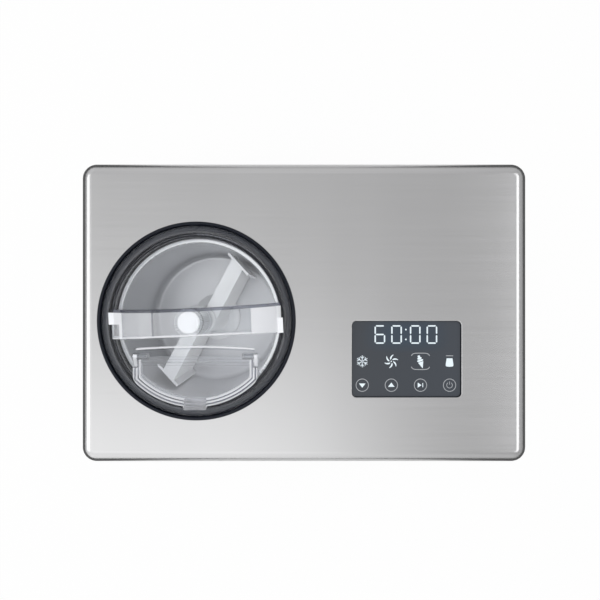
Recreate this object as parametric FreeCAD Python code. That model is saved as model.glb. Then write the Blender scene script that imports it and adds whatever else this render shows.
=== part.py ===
import FreeCAD
import Part

import math
import os

# A compressor ice cream maker in millimetres: a brushed steel box with a lift-out bowl under a clear lid
# on its left, a touch panel on its right, and a gear motor, compressor, condenser and fan inside.
# The origin is on the floor under the middle of the casing: +X to the right, +Y to the back, +Z up.

V = FreeCAD.Vector
UP = V(0, 0, 1)
ALONG_X = V(1, 0, 0)
ALONG_Y = V(0, 1, 0)

# Shared small sizes: edge radii, how far ribs are sunk in what they grow from and how far cuts overshoot
FINE_R = 0.8
SOFT_R = 1.2
ROOT = 0.5
OVER = 1.0
ROUND_SLACK = 0.02
SAME = 1e-4

# Casing
BODY_W = 425.0
BODY_D = 285.0
TOP_Z = 222.0
CORNER_R = 14.0
EDGE_R = 8.5
SHEET = 1.0
TOP_SKIRT = 24.0
SEAM_GAP = 0.4
FRAME_T = 2.5
FRAME_TUCK = 14.0
FIT = 0.2
FOOT_H = 10.0
FOOT_R = 14.0
FOOT_INSET = 38.0
FOOT_TAPER = 1.5
FOOT_RECESS = 5.2
FOOT_SCREW_L = 13.0
FOOT_BOSS_R = 5.0
FOOT_BOSS_H = 7.0
FOOT_HEAD_ROOM = 1.0
TRAY_T = 3.0
TRAY_LEDGE = 5.0
TRAY_RIM_H = 18.0
TRAY_RIM_T = 2.5
VENT_W = 3.4
VENT_H = 46.0
VENT_PITCH = 8.0
VENT_ROWS = 2
VENT_COLUMNS = 13
REAR_VENT_COLUMNS = 17
VENT_CUT = 4.0
REAR_COVER_W = 168.0
REAR_COVER_H = 124.0
REAR_COVER_LAP = 8.0
REAR_COVER_FROM_RIGHT = 110.5
REAR_COVER_CORNER_R = 5.0
REAR_SCREW_L = 7.0

# Bowl, well and collar
WALL_TO_COLLAR = 16.3
FRONT_TO_BOWL = 134.9
BOWL_R = 75.5
BOWL_WALL = 2.0
BOWL_DEPTH = 122.0
BOWL_RIM_DROP = 15.0
BOWL_RIM_ROLL = 2.2
BOWL_RIM_T = 2.4
BOWL_TAPER = 1.0
BOWL_CORNER_R = 6.0
BOWL_TUBE_R = 9.0
BOWL_TUBE_H = 88.0
WELL_GAP = 0.6
WELL_WALL = 1.5
WELL_FLANGE_T = 1.6
BOWL_SEAT_GAP = 0.3
BOWL_TUBE_CLEAR = 0.6
FLANGE_LAP = 3.0
WELL_SCREW_COUNT = 6
WELL_SCREW_L = 8.0
SEAL_T = 3.4
SEAL_BRIM = 6.0
SEAL_BRIM_T = 3.0
COIL_FROM_FLOOR = 14.0
COIL_CLEAR = 0.5
FOAM_T = 17.0
RIM_TO_SKIRT = 0.9
SKIRT_TO_LEDGE = 1.0
LID_TO_LIP = 0.5
COLLAR_LIP_W = 3.1
COLLAR_LIP_H = 2.0
COLLAR_NECK_T = 1.6
LEDGE_W = 6.6
LEDGE_T = 3.0
COLLAR_FOOT_T = 2.0

# Lid, handle and refill flap
LID_T = 3.0
LID_SKIRT_T = 2.4
LID_SKIRT_H = 9.5
LID_GAP = 0.3
LID_BEAD_W = 4.6
LID_BEAD_H = 2.2
LID_EDGE_W = 2.0
SEAL_FROM_LEDGE = 1.6
SEAL_W = 3.2
SEAL_SINK = 1.2
LUG_REACH = 3.2
LUG_H = 3.0
LUG_SPAN = 12.2
LUG_ANGLE = -18.0
LUG_CLEAR = 0.6
NOTCH_PLAY = 3.0
POST_R = 13.0
POST_BLEND_R = 2.0
BEARING_R = 10.0
BEARING_BRIM = 2.4
BEARING_BRIM_T = 4.0
HANDLE_RISE = 40.0
HANDLE_END_GAP = 3.7
HANDLE_END_W = 28.5
HANDLE_MID_W = 25.0
HANDLE_T = 2.6
HANDLE_LIP = 8.0
HANDLE_LIP_T = 3.0
HANDLE_YAW = 2.4
HANDLE_TOOTH = 1.6
HANDLE_TOOTH_H = 4.0
HANDLE_EDGE_R = 1.0
FLAP_BACK = 30.2
FLAP_SIDE_IN = 22.0
FLAP_RIM_GAP = 3.5
FLAP_CORNER_R = 12.0
FLAP_T = 2.4
FLAP_EDGE_R = 0.8
FLAP_SKIRT_T = 2.0
FLAP_GAP = 0.5
FLAP_LIFT = 0.6
UPSTAND_T = 2.4
UPSTAND_H = 4.2
PLUG_T = 2.4
PLUG_H = 3.6
FLAP_BARREL_R = 2.8
FLAP_KNUCKLE_L = 10.0
FLAP_PIN_R = 1.25
FLAP_PIN_REACH = 8.0
FLAP_EAR_T = 4.0
FLAP_EAR_FRONT = 10.0
FLAP_EAR_BACK = 2.6
FLAP_TAB_W = 22.0
FLAP_TAB_L = 10.0
FLAP_TAB_H = 1.6
FLAP_TAB_REACH = 2.4
FLAP_TAB_DIP = 1.8
FLAP_TAB_DIP_R = 16.0
FLAP_TAB_CORNER_R = 1.5
BROW_BACK = 27.3
BROW_RISE = 2.4
BROW_T = 1.2
BROW_H = 2.6

# Paddle
PADDLE_ARM_W = 14.4
PADDLE_ARM_OFFSET = 4.7
PADDLE_ANGLE = 62.3
PADDLE_WALL = 3.0
PADDLE_TOP_DROP = 35.0
PADDLE_FLOOR_GAP = 1.6
PADDLE_HUB_R = 13.5
PADDLE_BASE_R = 27.0
PADDLE_PIN_R = 5.0
PADDLE_ARM_LIFT = 1.4
PADDLE_BASE_T = 3.0
PADDLE_SKIRT_H = 9.0
HUB_DRAFT = 1.5
HUB_BLEND_R = 3.0
HUB_CAP = 5.0
SCRAPER_T = 2.4
SCRAPER_GAP = 2.8
SCRAPER_L = 29.4
SCRAPER_LEAD = 6.3
SCRAPER_HEADING = -109.7
SLEEVE_CLEAR = 0.6
SOCKET_CLEAR = 0.4
PIN_RISE = 14.0
PIN_CLEAR = 0.3
PIN_END_GAP = 1.0
SOCKET_GAP = 1.0

# Drive
SHAFT_R = 6.0
RUN_FIT = 0.06
PRESS_FIT = 0.02
DOG_H = 15.0
BUSH_T = 2.0
GEAR_SIDE_GAP = 1.5
TOOTH_TIP = 0.75
TOOTH_ROOT = 1.1
PRESSURE_ANGLE = 20.0
MODULE_FAST = 1.0
MODULE_SLOW = 1.25
PINION_TEETH = 12
WHEEL_TEETH = 48
GEAR_T = 7.0
GEAR_GAP = 2.0
BACKLASH = 0.24
CASE_WALL = 2.5
CASE_H = 22.0
CASE_Z = 34.0
CASE_CORNER_R = 8.0
CASE_END_ROOM = 14.0
CASE_EAR_R = 6.0
CASE_EAR_H = 4.0
CASE_SCREW_L = 12.0
COVER_T = 3.0
ROTOR_R = 15.0
STATOR_R = 30.0
STATOR_H = 16.0
STATOR_CORNER_R = 12.0
AIR_GAP = 0.4
END_PLATE_T = 2.0
ROTOR_SHAFT_R = 2.5

# Cooling circuit
TUBE_R = 3.5
COIL_TURNS = 8
COIL_PITCH = 11.0
COIL_LEAD = 75.0
COIL_STEPS = 8
COMPRESSOR_R = 52.0
COMPRESSOR_H = 112.0
COMPRESSOR_WALL = 2.5
COMPRESSOR_BRIM = 4.0
COMPRESSOR_SPLIT = 50.0
COMPRESSOR_BASE_T = 3.0
COMPRESSOR_DISH_R = 16.0
COMPRESSOR_DOME_R = 26.0
COMPRESSOR_TO_CONDENSER = 12.0
COMPRESSOR_Y = 40.0
PUMP_R = 38.0
PUMP_H = 72.0
PUMP_LEG_H = 12.0
PUMP_LEGS = 3
PUMP_LEG_R = 5.0
STUB_SPREAD = 15.0
STUB_FROM_SPLIT = 26.0
STUB_T = 1.5
TERMINAL_W = 42.0
TERMINAL_H = 36.0
TERMINAL_REACH = 20.0
TERMINAL_CORNER_R = 3.0
MOUNT_H = 12.0
MOUNT_PEG_R = 3.5
GROMMET_R = 9.0
GROMMET_NECK_R = 5.0
GROMMET_TOP_T = 3.0
GROMMET_TAPER = 1.0
PIPE_BEND = 9.0
PIPE_STAND_OFF = 22.0
PIPE_HUMP = 24.0
CONDENSER_T = 34.0
CONDENSER_END = 8.0
FIN_EDGE = 9.0
FAN_TO_CONDENSER = 1.0
FIN_COUNT = 20
FIN_T = 0.6
FIN_PITCH = 5.6
CONDENSER_RUNS = 7
RUN_PITCH = 16.0
FAN_SIZE = 116.0
FAN_T = 25.0
FAN_Y = 6.0
FAN_BLADES = 7
FAN_HUB_R = 20.0
FAN_RIM_T = 3.0
FAN_CORNER_R = 6.0
FAN_SPOKES = 3
FAN_SPOKE_TURN = 30.0
FAN_PLATE_T = 2.5
FAN_CUP_T = 2.4
FAN_SHAFT_R = 2.0
FAN_SHAFT_L = 16.0
FAN_MOTOR_L = 14.0
FAN_TIP_GAP = 2.0
FAN_BLADE_T = 1.8
FAN_BLADE_W = 22.0
FAN_PITCH = 48.0
DRIER_R = 8.0
DRIER_L = 66.0
DRIER_ASIDE = 28.0
DRIER_AHEAD = 26.0
DRIER_RISE = 14.0
DRIER_NECK_L = 5.0
DRIER_CONE_L = 6.0
DRIER_NECK_T = 1.0
CAPILLARY_R = 1.3
CRADLE_H = 13.0
CRADLE_W = 18.0
CRADLE_INSET = 12.0

# Control panel and power board
PANEL_W = 103.9
PANEL_D = 72.4
PANEL_CORNER_R = 4.3
PANEL_EDGE_R = 0.7
PANEL_FROM_RIGHT = 115.1
PANEL_FROM_FRONT = 98.6
PANEL_DROP = 2.8
GLASS_T = 2.4
GLASS_GAP = 0.35
HOLDER_T = 2.0
HOLDER_H = 17.0
HOLDER_SHELF = 3.0
HOLDER_FLANGE = 8.0
HOLDER_FLANGE_T = 2.5
PCB_T = 1.6
PCB_TO_GLASS = 8.0
PCB_GAP = 0.5
PCB_POST_R = 3.5
PCB_POST_INSET = 6.0
PCB_SCREW_L = 5.6
DISPLAY_W = 66.0
DISPLAY_D = 18.0
DISPLAY_FROM_BACK = 12.6
KEY_COUNT = 4
KEY_STEP = 27.6
KEY_FROM_FRONT = 11.3
KEY_R = 4.0
BOARD_W = 116.0
BOARD_H = 78.0
BOARD_FROM_FRONT = 22.0
BOARD_LIFT = 10.0
BOARD_SLOT = 4.0
BOARD_POST_W = 10.0
BOARD_POST_INSET = 12.0
TRANSFORMER = (32.0, 26.0, 28.0)
TRANSFORMER_FROM_SIDE = 14.0
RELAY = (19.0, 15.0, 15.0)
RELAY_COUNT = 2
RELAY_STEP = 24.0
RELAY_FROM_SIDE = 56.0
CAPACITOR_R = 9.0
CAPACITOR_L = 24.0
CAPACITOR_FROM_SIDE = 66.0
CAPACITOR_RISE = 42.0
GLAND_BORE_R = 3.7
GLAND_R = 8.5
GLAND_WALL = 2.5
GLAND_NUT_L = 6.0
GLAND_FLANGE_T = 2.5
GLAND_FROM_COMPRESSOR = 100.0
GLAND_RISE = 36.0

# Screws: head radius, head height and shank radius
M4_SCREW = (4.0, 2.6, 2.0)
M3_SCREW = (2.9, 1.6, 1.5)
M25_SCREW = (2.4, 1.4, 1.2)
MOUNT_SCREW = (6.5, 2.6, 1.6)
SCREW_HOLE_FIT = 0.1

# Places that follow from the sizes above
TRAY_FLOOR = FOOT_H + TRAY_T
WRAP_LOW = FOOT_H + TRAY_LEDGE
WRAP_HIGH = TOP_Z - TOP_SKIRT - SEAM_GAP
REAR_COVER_X = BODY_W / 2 - REAR_COVER_FROM_RIGHT
REAR_COVER_LOW = (WRAP_LOW + WRAP_HIGH - REAR_COVER_H) / 2
REAR_COVER_HIGH = REAR_COVER_LOW + REAR_COVER_H

BOWL_OUT = BOWL_R + BOWL_WALL
RIM_R = BOWL_OUT + BOWL_RIM_ROLL
RIM_Z = TOP_Z - BOWL_RIM_DROP
BOWL_FLOOR = RIM_Z - BOWL_DEPTH
BOWL_BOTTOM = BOWL_FLOOR - BOWL_WALL
TUBE_TOP = BOWL_FLOOR + BOWL_TUBE_H
WELL_IN = BOWL_OUT + WELL_GAP
WELL_OUT = WELL_IN + WELL_WALL
WELL_FLOOR = BOWL_BOTTOM - BOWL_SEAT_GAP
WELL_TOP = RIM_Z - BOWL_RIM_T - BOWL_SEAT_GAP
SKIRT_IN = RIM_R + RIM_TO_SKIRT
SKIRT_OUT = SKIRT_IN + LID_SKIRT_T
LEDGE_IN = SKIRT_OUT + SKIRT_TO_LEDGE
LID_R = LEDGE_IN + LEDGE_W
LIP_IN = LID_R + LID_TO_LIP
LIP_OUT = LIP_IN + COLLAR_LIP_W
NECK_OUT = LIP_IN + COLLAR_NECK_T
LID_LOW = TOP_Z - LID_T
LEDGE_TOP = LID_LOW - LID_GAP
LEDGE_UNDER = LEDGE_TOP - LEDGE_T
GROOVE_R = SKIRT_OUT + LUG_REACH + LUG_CLEAR
FLANGE_OUT = NECK_OUT + FLANGE_LAP
FLANGE_UNDER = WELL_TOP - WELL_FLANGE_T
WELL_SCREW_R = (GROOVE_R + NECK_OUT) / 2
BOWL_X = -BODY_W / 2 + WALL_TO_COLLAR + LIP_OUT
BOWL_Y = -BODY_D / 2 + FRONT_TO_BOWL
COIL_R = WELL_OUT + TUBE_R + FIT
FOAM_IN = COIL_R + TUBE_R + COIL_CLEAR
FOAM_OUT = FOAM_IN + FOAM_T
COIL_LOW = WELL_FLOOR + COIL_FROM_FLOOR
COIL_HIGH = COIL_LOW + COIL_TURNS * COIL_PITCH

BEAD_OUT = LID_R - LID_EDGE_W
BEAD_IN = BEAD_OUT - LID_BEAD_W
SEAL_IN = LEDGE_IN + SEAL_FROM_LEDGE
SEAL_OUT = SEAL_IN + SEAL_W
HANDLE_HALF = BEAD_IN - HANDLE_END_GAP
HANDLE_TOP = TOP_Z + HANDLE_RISE
ARCH_R = (HANDLE_HALF**2 + HANDLE_RISE**2) / (2 * HANDLE_RISE)
ARCH_Z = HANDLE_TOP - ARCH_R
POST_TOP = HANDLE_TOP - HANDLE_T - FIT
FLAP_R = BEAD_IN - FLAP_RIM_GAP
FLAP_HALF_W = FLAP_R - FLAP_SIDE_IN
FLAP_LOW = TOP_Z + UPSTAND_H + FLAP_LIFT
UPSTAND_INSET = FLAP_SKIRT_T + FLAP_GAP
OPENING_INSET = UPSTAND_INSET + UPSTAND_T
PLUG_INSET = OPENING_INSET + FLAP_GAP
EAR_OUT = FLAP_HALF_W
EAR_IN = EAR_OUT - FLAP_EAR_T
BARREL_HALF = EAR_IN - FLAP_GAP
FLAP_PIN_END = BARREL_HALF - FLAP_PIN_REACH
FLAP_AXIS_Y = -FLAP_BACK - FLAP_BARREL_R
FLAP_AXIS_Z = FLAP_LOW + FLAP_T - FLAP_BARREL_R

PADDLE_LOW = BOWL_FLOOR + PADDLE_FLOOR_GAP
PADDLE_TOP = TOP_Z - PADDLE_TOP_DROP
DOG_TOP = TUBE_TOP + DOG_H
HUB_TOP = DOG_TOP + HUB_CAP
PIN_TOP = TOP_Z + PIN_RISE
SCRAPER_R = BOWL_R - SCRAPER_GAP

SLOW_STEP = MODULE_SLOW * (PINION_TEETH + WHEEL_TEETH) / 2
FAST_STEP = MODULE_FAST * (PINION_TEETH + WHEEL_TEETH) / 2
IDLER_X = BOWL_X + SLOW_STEP
ROTOR_X = IDLER_X + FAST_STEP
CASE_TOP = CASE_Z + CASE_H
COVER_TOP = CASE_TOP + COVER_T
SLOW_Z = CASE_Z + CASE_WALL + GEAR_SIDE_GAP
FAST_Z = SLOW_Z + GEAR_T + GEAR_GAP
STATOR_LOW = CASE_Z - STATOR_H
PINION_TURN = 180 + 180 / PINION_TEETH

WALL_RIGHT = BODY_W / 2 - SHEET
WALL_BACK = BODY_D / 2 - SHEET
CRADLE_TOP = TRAY_FLOOR + CRADLE_H
FAN_X = WALL_RIGHT - FIT - TRAY_RIM_T - FIT - FAN_T
FAN_END = FAN_X + FAN_T
FAN_Z = CRADLE_TOP + FAN_SIZE / 2
CONDENSER_X = FAN_X - FAN_TO_CONDENSER - CONDENSER_T / 2
CONDENSER_LOW = CRADLE_TOP + FIN_EDGE
CONDENSER_HIGH = CONDENSER_LOW + (CONDENSER_RUNS - 1) * RUN_PITCH
FINS_HALF = (FIN_COUNT - 1) * FIN_PITCH / 2
RUN_HALF = FINS_HALF + CONDENSER_END
COMPRESSOR_X = CONDENSER_X - CONDENSER_T / 2 - COMPRESSOR_TO_CONDENSER - COMPRESSOR_R
COMPRESSOR_Z = TRAY_FLOOR + MOUNT_H + COMPRESSOR_BASE_T
SPLIT_Z = COMPRESSOR_Z + COMPRESSOR_SPLIT
MOUNT_X = COMPRESSOR_R
MOUNT_Y = COMPRESSOR_R - COMPRESSOR_DISH_R

PANEL_X = BODY_W / 2 - PANEL_FROM_RIGHT
PANEL_Y = -BODY_D / 2 + PANEL_FROM_FRONT
GLASS_TOP = TOP_Z - PANEL_DROP
GLASS_UNDER = GLASS_TOP - GLASS_T
HOLDER_LOW = GLASS_TOP - HOLDER_H
FRAME_UNDER = TOP_Z - SHEET - FIT - FRAME_T
PCB_TOP = GLASS_UNDER - PCB_TO_GLASS
BOARD_Y = -BODY_D / 2 + BOARD_FROM_FRONT
BOARD_LOW = TRAY_FLOOR + BOARD_LIFT
GLAND_X = COMPRESSOR_X - GLAND_FROM_COMPRESSOR
GLAND_Z = TRAY_FLOOR + GLAND_RISE


def rounded_edges(points, closed=True):
    """Edges through corner points (vector, radius), with a tangent arc at each corner that has a radius."""
    count = len(points)
    inner = range(count) if closed else range(1, count - 1)
    ends = {}
    arcs = {}
    for i in range(count):
        corner, radius = points[i]
        ends[i] = (corner, corner)
        if i not in inner or radius <= 0:
            continue
        back = (points[i - 1][0] - corner).normalize()
        ahead = (points[(i + 1) % count][0] - corner).normalize()
        half = back.getAngle(ahead) / 2
        start = corner + back * (radius / math.tan(half))
        stop = corner + ahead * (radius / math.tan(half))
        middle = corner + (back + ahead).normalize() * (radius / math.sin(half) - radius)
        ends[i] = (start, stop)
        arcs[i] = Part.Arc(start, middle, stop).toShape()
    edges = []
    for i in range(count if closed else count - 1):
        after = (i + 1) % count
        if i in arcs:
            edges.append(arcs[i])
        if ends[i][1].distanceToPoint(ends[after][0]) > SAME:
            edges.append(Part.LineSegment(ends[i][1], ends[after][0]).toShape())
    return edges


def face_of(points):
    """A flat face inside corner points (vector, radius)."""
    return Part.Face(Part.Wire(rounded_edges(points)))


def slab(width, depth, corner, low, high, x=0.0, y=0.0):
    """An upright block with rounded corners in plan, centred on x, y."""
    w = width / 2
    d = depth / 2
    corners = [(-w, -d), (w, -d), (w, d), (-w, d)]
    face = face_of([(V(x + a, y + b, low), corner) for a, b in corners])
    return face.extrude(UP * (high - low))


def frame(width, depth, corner, thick, low, high):
    """A rounded rectangular tube round the origin, given by its outside."""
    inner = slab(width - 2 * thick, depth - 2 * thick, max(corner - thick, FINE_R), low, high)
    return slab(width, depth, corner, low, high).cut(inner)


def disc(radius, low, high, x=BOWL_X, y=BOWL_Y):
    """An upright cylinder."""
    return Part.makeCylinder(radius, high - low, V(x, y, low), UP)


def ring(inner, outer, low, high, x=BOWL_X, y=BOWL_Y):
    """An upright tube."""
    return disc(outer, low, high, x, y).cut(disc(inner, low, high, x, y))


def turned(section, x=BOWL_X, y=BOWL_Y):
    """A solid of revolution about the upright axis at x, y from points (radius, height, corner radius)."""
    face = face_of([(V(x + r, y, z), corner) for r, z, corner in section])
    return face.revolve(V(x, y, 0), UP, 360)


def rod(radius, start, direction, length):
    """A cylinder from a start point along a direction."""
    return Part.makeCylinder(radius, length, start, direction)


def box(x0, x1, y0, y1, z0, z1):
    """A plain block between two corners."""
    return Part.makeBox(x1 - x0, y1 - y0, z1 - z0, V(x0, y0, z0))


def pipe(points, bend, radius):
    """A solid tube along straight runs joined by tangent arcs of one bend radius."""
    path = Part.Wire(rounded_edges([(p, bend) for p in points], closed=False))
    ahead = points[1] - points[0]
    section = Part.Wire(Part.Circle(points[0], ahead, radius).toShape())
    return path.makePipeShell([section], True, False)


def at_bowl(shape, turn=0.0):
    """Moves a shape made about the upright axis at the origin to the bowl's axis, turned by an angle."""
    copy = shape.copy()
    copy.rotate(V(0, 0, 0), UP, turn)
    copy.translate(V(BOWL_X, BOWL_Y, 0))
    return copy


def joined(shapes):
    """One solid from shapes that meet."""
    return shapes[0].multiFuse(shapes[1:]).removeSplitter()


def group(solids):
    """Separate solids that share a node."""
    return Part.makeCompound(solids)


def pan_screw(size, seat, direction, length):
    """A pan-head screw whose shank goes along a direction from the seat under its head."""
    head_r, head_h, shank_r = size
    head = rod(head_r, seat - direction * head_h, direction, head_h)
    return joined([head, rod(shank_r, seat, direction, length)])


def screw_hole(size, seat, direction, length):
    """The clearance hole of such a screw's shank, as a cutting rod."""
    return rod(size[2] + SCREW_HOLE_FIT, seat, direction, length)


# Casing pieces

def cap_shell(inset, thick, low):
    """An open-bottomed cap that follows the casing's rolled top edge, a step inside the casing's outline."""
    outer = slab(BODY_W - 2 * inset, BODY_D - 2 * inset, CORNER_R - inset, low, TOP_Z - inset)
    outer = rolled_top(outer, EDGE_R - inset, TOP_Z - inset)
    more = inset + thick
    inner = slab(BODY_W - 2 * more, BODY_D - 2 * more, CORNER_R - more, low - OVER, TOP_Z - more)
    inner = rolled_top(inner, max(EDGE_R - more, FINE_R), TOP_Z - more)
    return outer.cut(inner)


def rolled_top(block, radius, top):
    """Rounds the edges of a block that lie in its top face."""
    edges = [e for e in block.Edges if e.BoundBox.ZMin > top - SAME]
    return block.makeFillet(radius, edges)


def panel_window(extra, low, high):
    """The control panel's outline, grown by a margin, as a cutting block."""
    corner = PANEL_CORNER_R + extra
    return slab(PANEL_W + 2 * extra, PANEL_D + 2 * extra, corner, low, high, PANEL_X, PANEL_Y)


def top_panel():
    shell = cap_shell(0.0, SHEET, TOP_Z - TOP_SKIRT)
    shell = shell.cut(disc(NECK_OUT + FIT, TOP_Z - TOP_SKIRT, TOP_Z + OVER))
    shell = shell.cut(panel_window(0.0, TOP_Z - TOP_SKIRT, TOP_Z + OVER))
    reach = PANEL_W / 2 + SAME
    window = [
        e for e in shell.Edges
        if e.BoundBox.ZMin > TOP_Z - SAME and abs(e.BoundBox.Center.x - PANEL_X) < reach
        and abs(e.BoundBox.Center.y - PANEL_Y) < reach and e.BoundBox.XLength < BODY_W / 2
    ]
    return shell.makeFillet(PANEL_EDGE_R, window)


def upper_frame():
    shell = cap_shell(SHEET + FIT, FRAME_T, TOP_Z - TOP_SKIRT - FRAME_TUCK)
    shell = shell.cut(disc(NECK_OUT + FIT, TOP_Z - TOP_SKIRT, TOP_Z + OVER))
    return shell.cut(panel_window(HOLDER_T + FIT, TOP_Z - TOP_SKIRT, TOP_Z + OVER))


def vent_slots(across, along, place, columns):
    """Cutting blocks for rows of upright round-ended slots through a wall, centred on a place."""
    cuts = []
    for row in range(VENT_ROWS):
        rise = (row - (VENT_ROWS - 1) / 2) * (VENT_H + VENT_PITCH)
        for column in range(columns):
            shift = (column - (columns - 1) / 2) * VENT_PITCH
            cuts.append(slot(place + along * shift + UP * rise, across, along))
    return group(cuts)


def slot(middle, across, along):
    """One upright round-ended slot that cuts through a wall facing the across direction."""
    half = VENT_W / 2
    tall = VENT_H / 2
    start = middle - across * VENT_CUT
    corners = [(-half, -tall), (half, -tall), (half, tall), (-half, tall)]
    points = [(start + along * a + UP * b, half - ROUND_SLACK) for a, b in corners]
    return face_of(points).extrude(across * (2 * VENT_CUT))


def side_wrap():
    wall = frame(BODY_W, BODY_D, CORNER_R, SHEET, WRAP_LOW, WRAP_HIGH)
    wall = wall.cut(vent_slots(ALONG_X, ALONG_Y, V(WALL_RIGHT, FAN_Y, FAN_Z), VENT_COLUMNS))
    half = REAR_COVER_W / 2 - REAR_COVER_LAP
    wall = wall.cut(box(
        REAR_COVER_X - half, REAR_COVER_X + half, WALL_BACK - VENT_CUT, WALL_BACK + VENT_CUT,
        REAR_COVER_LOW + REAR_COVER_LAP, REAR_COVER_HIGH - REAR_COVER_LAP,
    ))
    gland_r = GLAND_BORE_R + GLAND_WALL + FIT / 2
    wall = wall.cut(rod(gland_r, V(GLAND_X, WALL_BACK - VENT_CUT, GLAND_Z), ALONG_Y, 2 * VENT_CUT))
    return wall.cut(rear_screw_holes())


def rear_screw_seats():
    """The middles of the rear cover's screw seats, on its outer face."""
    inset = REAR_COVER_LAP / 2
    half = REAR_COVER_W / 2 - inset
    face = WALL_BACK + 2 * SHEET
    heights = (REAR_COVER_LOW + inset, REAR_COVER_HIGH - inset)
    return [V(REAR_COVER_X + side * half, face, z) for side in (-1, 1) for z in heights]


def rear_screw_holes():
    return group([screw_hole(M3_SCREW, seat, -ALONG_Y, REAR_SCREW_L) for seat in rear_screw_seats()])


def rear_cover():
    half = REAR_COVER_W / 2
    face = WALL_BACK + SHEET
    low = REAR_COVER_LOW
    high = REAR_COVER_HIGH
    corners = [(-half, low), (half, low), (half, high), (-half, high)]
    points = [(V(REAR_COVER_X + a, face, b), REAR_COVER_CORNER_R) for a, b in corners]
    plate = face_of(points).extrude(ALONG_Y * SHEET)
    place = V(REAR_COVER_X, face, (low + high) / 2)
    plate = plate.cut(vent_slots(ALONG_Y, ALONG_X, place, REAR_VENT_COLUMNS))
    return plate.cut(rear_screw_holes())


def rear_cover_screws():
    return group([pan_screw(M3_SCREW, seat, -ALONG_Y, REAR_SCREW_L) for seat in rear_screw_seats()])


def foot_places():
    """Each foot's name and place."""
    x = BODY_W / 2 - FOOT_INSET
    y = BODY_D / 2 - FOOT_INSET
    return {
        "foot_front_left": (-x, -y),
        "foot_front_right": (x, -y),
        "foot_rear_left": (-x, y),
        "foot_rear_right": (x, y),
    }


def foot(x, y):
    """A rubber foot with a recess for its screw's head."""
    bore = M4_SCREW[2] + FIT
    recess = M4_SCREW[0] + FOOT_HEAD_ROOM
    section = [
        (bore, FOOT_RECESS, 0), (recess, FOOT_RECESS, 0), (recess, 0, 0), (FOOT_R - FOOT_TAPER, 0, SOFT_R),
        (FOOT_R, FOOT_H, 0), (bore, FOOT_H, 0),
    ]
    return turned(section, x, y)


def foot_screws():
    seats = [V(x, y, FOOT_RECESS) for x, y in foot_places().values()]
    return group([pan_screw(M4_SCREW, seat, UP, FOOT_SCREW_L) for seat in seats])


def base_tray():
    """The floor of the casing, with a rim inside the side wrap and supports for all that stands on it."""
    inset = SHEET + FIT
    inner = inset + TRAY_RIM_T
    tray = slab(BODY_W, BODY_D, CORNER_R, FOOT_H, WRAP_LOW)
    room = slab(BODY_W - 2 * inner, BODY_D - 2 * inner, CORNER_R - inner, TRAY_FLOOR, WRAP_LOW + OVER)
    tray = tray.cut(room)
    rim = frame(
        BODY_W - 2 * inset, BODY_D - 2 * inset, CORNER_R - inset, TRAY_RIM_T,
        WRAP_LOW - OVER, TRAY_FLOOR + TRAY_RIM_H,
    )
    root = TRAY_FLOOR - ROOT
    feet = list(foot_places().values())
    pieces = [tray, rim] + cradles()
    pieces += [disc(FOOT_BOSS_R, root, TRAY_FLOOR + FOOT_BOSS_H, x, y) for x, y in feet]
    pieces += [disc(CASE_EAR_R, root, CASE_Z, x, y) for x, y in case_ears()]
    pieces += [disc(MOUNT_PEG_R, root, TRAY_FLOOR + MOUNT_H, x, y) for x, y in mount_places()]
    half = BOARD_POST_W / 2
    front = BOARD_Y - half
    pieces += [box(x - half, x + half, front, front + 2 * half, root, BOARD_LOW) for x in board_posts()]
    tray = joined(pieces)
    holes = [screw_hole(M4_SCREW, V(x, y, 0), UP, FOOT_RECESS + FOOT_SCREW_L + OVER) for x, y in feet]
    holes += [screw_hole(M3_SCREW, V(x, y, CASE_Z), -UP, CASE_SCREW_L) for x, y in case_ears()]
    holes += [screw_hole(MOUNT_SCREW, V(x, y, 0), UP, TOP_Z) for x, y in mount_places()]
    play = PCB_T / 2 + SCREW_HOLE_FIT
    wide = half + OVER
    slot_low = BOARD_LOW - BOARD_SLOT
    holes += [
        box(x - wide, x + wide, BOARD_Y - play, BOARD_Y + play, slot_low, BOARD_LOW + OVER)
        for x in board_posts()
    ]
    return tray.cut(group(holes))


def cradles():
    """The blocks on the tray that the condenser and the fan stand on."""
    x0 = CONDENSER_X - CONDENSER_T / 2
    reach = FAN_SIZE / 2 - CRADLE_INSET
    half = CRADLE_W / 2
    return [
        box(x0, FAN_END, y - half, y + half, TRAY_FLOOR - ROOT, CRADLE_TOP)
        for y in (FAN_Y - reach, FAN_Y + reach)
    ]


def board_posts():
    """The places along X of the two slotted posts that hold the power board."""
    reach = BOARD_W / 2 - BOARD_POST_INSET
    return (PANEL_X - reach, PANEL_X + reach)


# Bowl well

def collar():
    """The black ring round the bowl: a lip on the steel, a notched ledge under the lid and a foot."""
    foot_in = RIM_R + LID_TO_LIP
    foot_top = WELL_TOP + COLLAR_FOOT_T
    lip_top = TOP_Z + COLLAR_LIP_H
    section = [
        (LIP_IN, lip_top, FINE_R), (LIP_OUT, lip_top, SOFT_R), (LIP_OUT, TOP_Z, 0), (NECK_OUT, TOP_Z, 0),
        (NECK_OUT, WELL_TOP, 0), (foot_in, WELL_TOP, 0), (foot_in, foot_top, FINE_R), (GROOVE_R, foot_top, 0),
        (GROOVE_R, LEDGE_UNDER, 0), (LEDGE_IN, LEDGE_UNDER, 0), (LEDGE_IN, LEDGE_TOP, FINE_R),
        (LIP_IN, LEDGE_TOP, FINE_R),
    ]
    body = turned(section)
    for side in (0, 180):
        notch = sector(
            LEDGE_IN - OVER, GROOVE_R, LUG_SPAN + NOTCH_PLAY,
            LEDGE_UNDER - OVER, LEDGE_TOP + OVER, LUG_ANGLE + side,
        )
        body = body.cut(at_bowl(notch))
    return body.cut(well_screw_holes())


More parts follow.
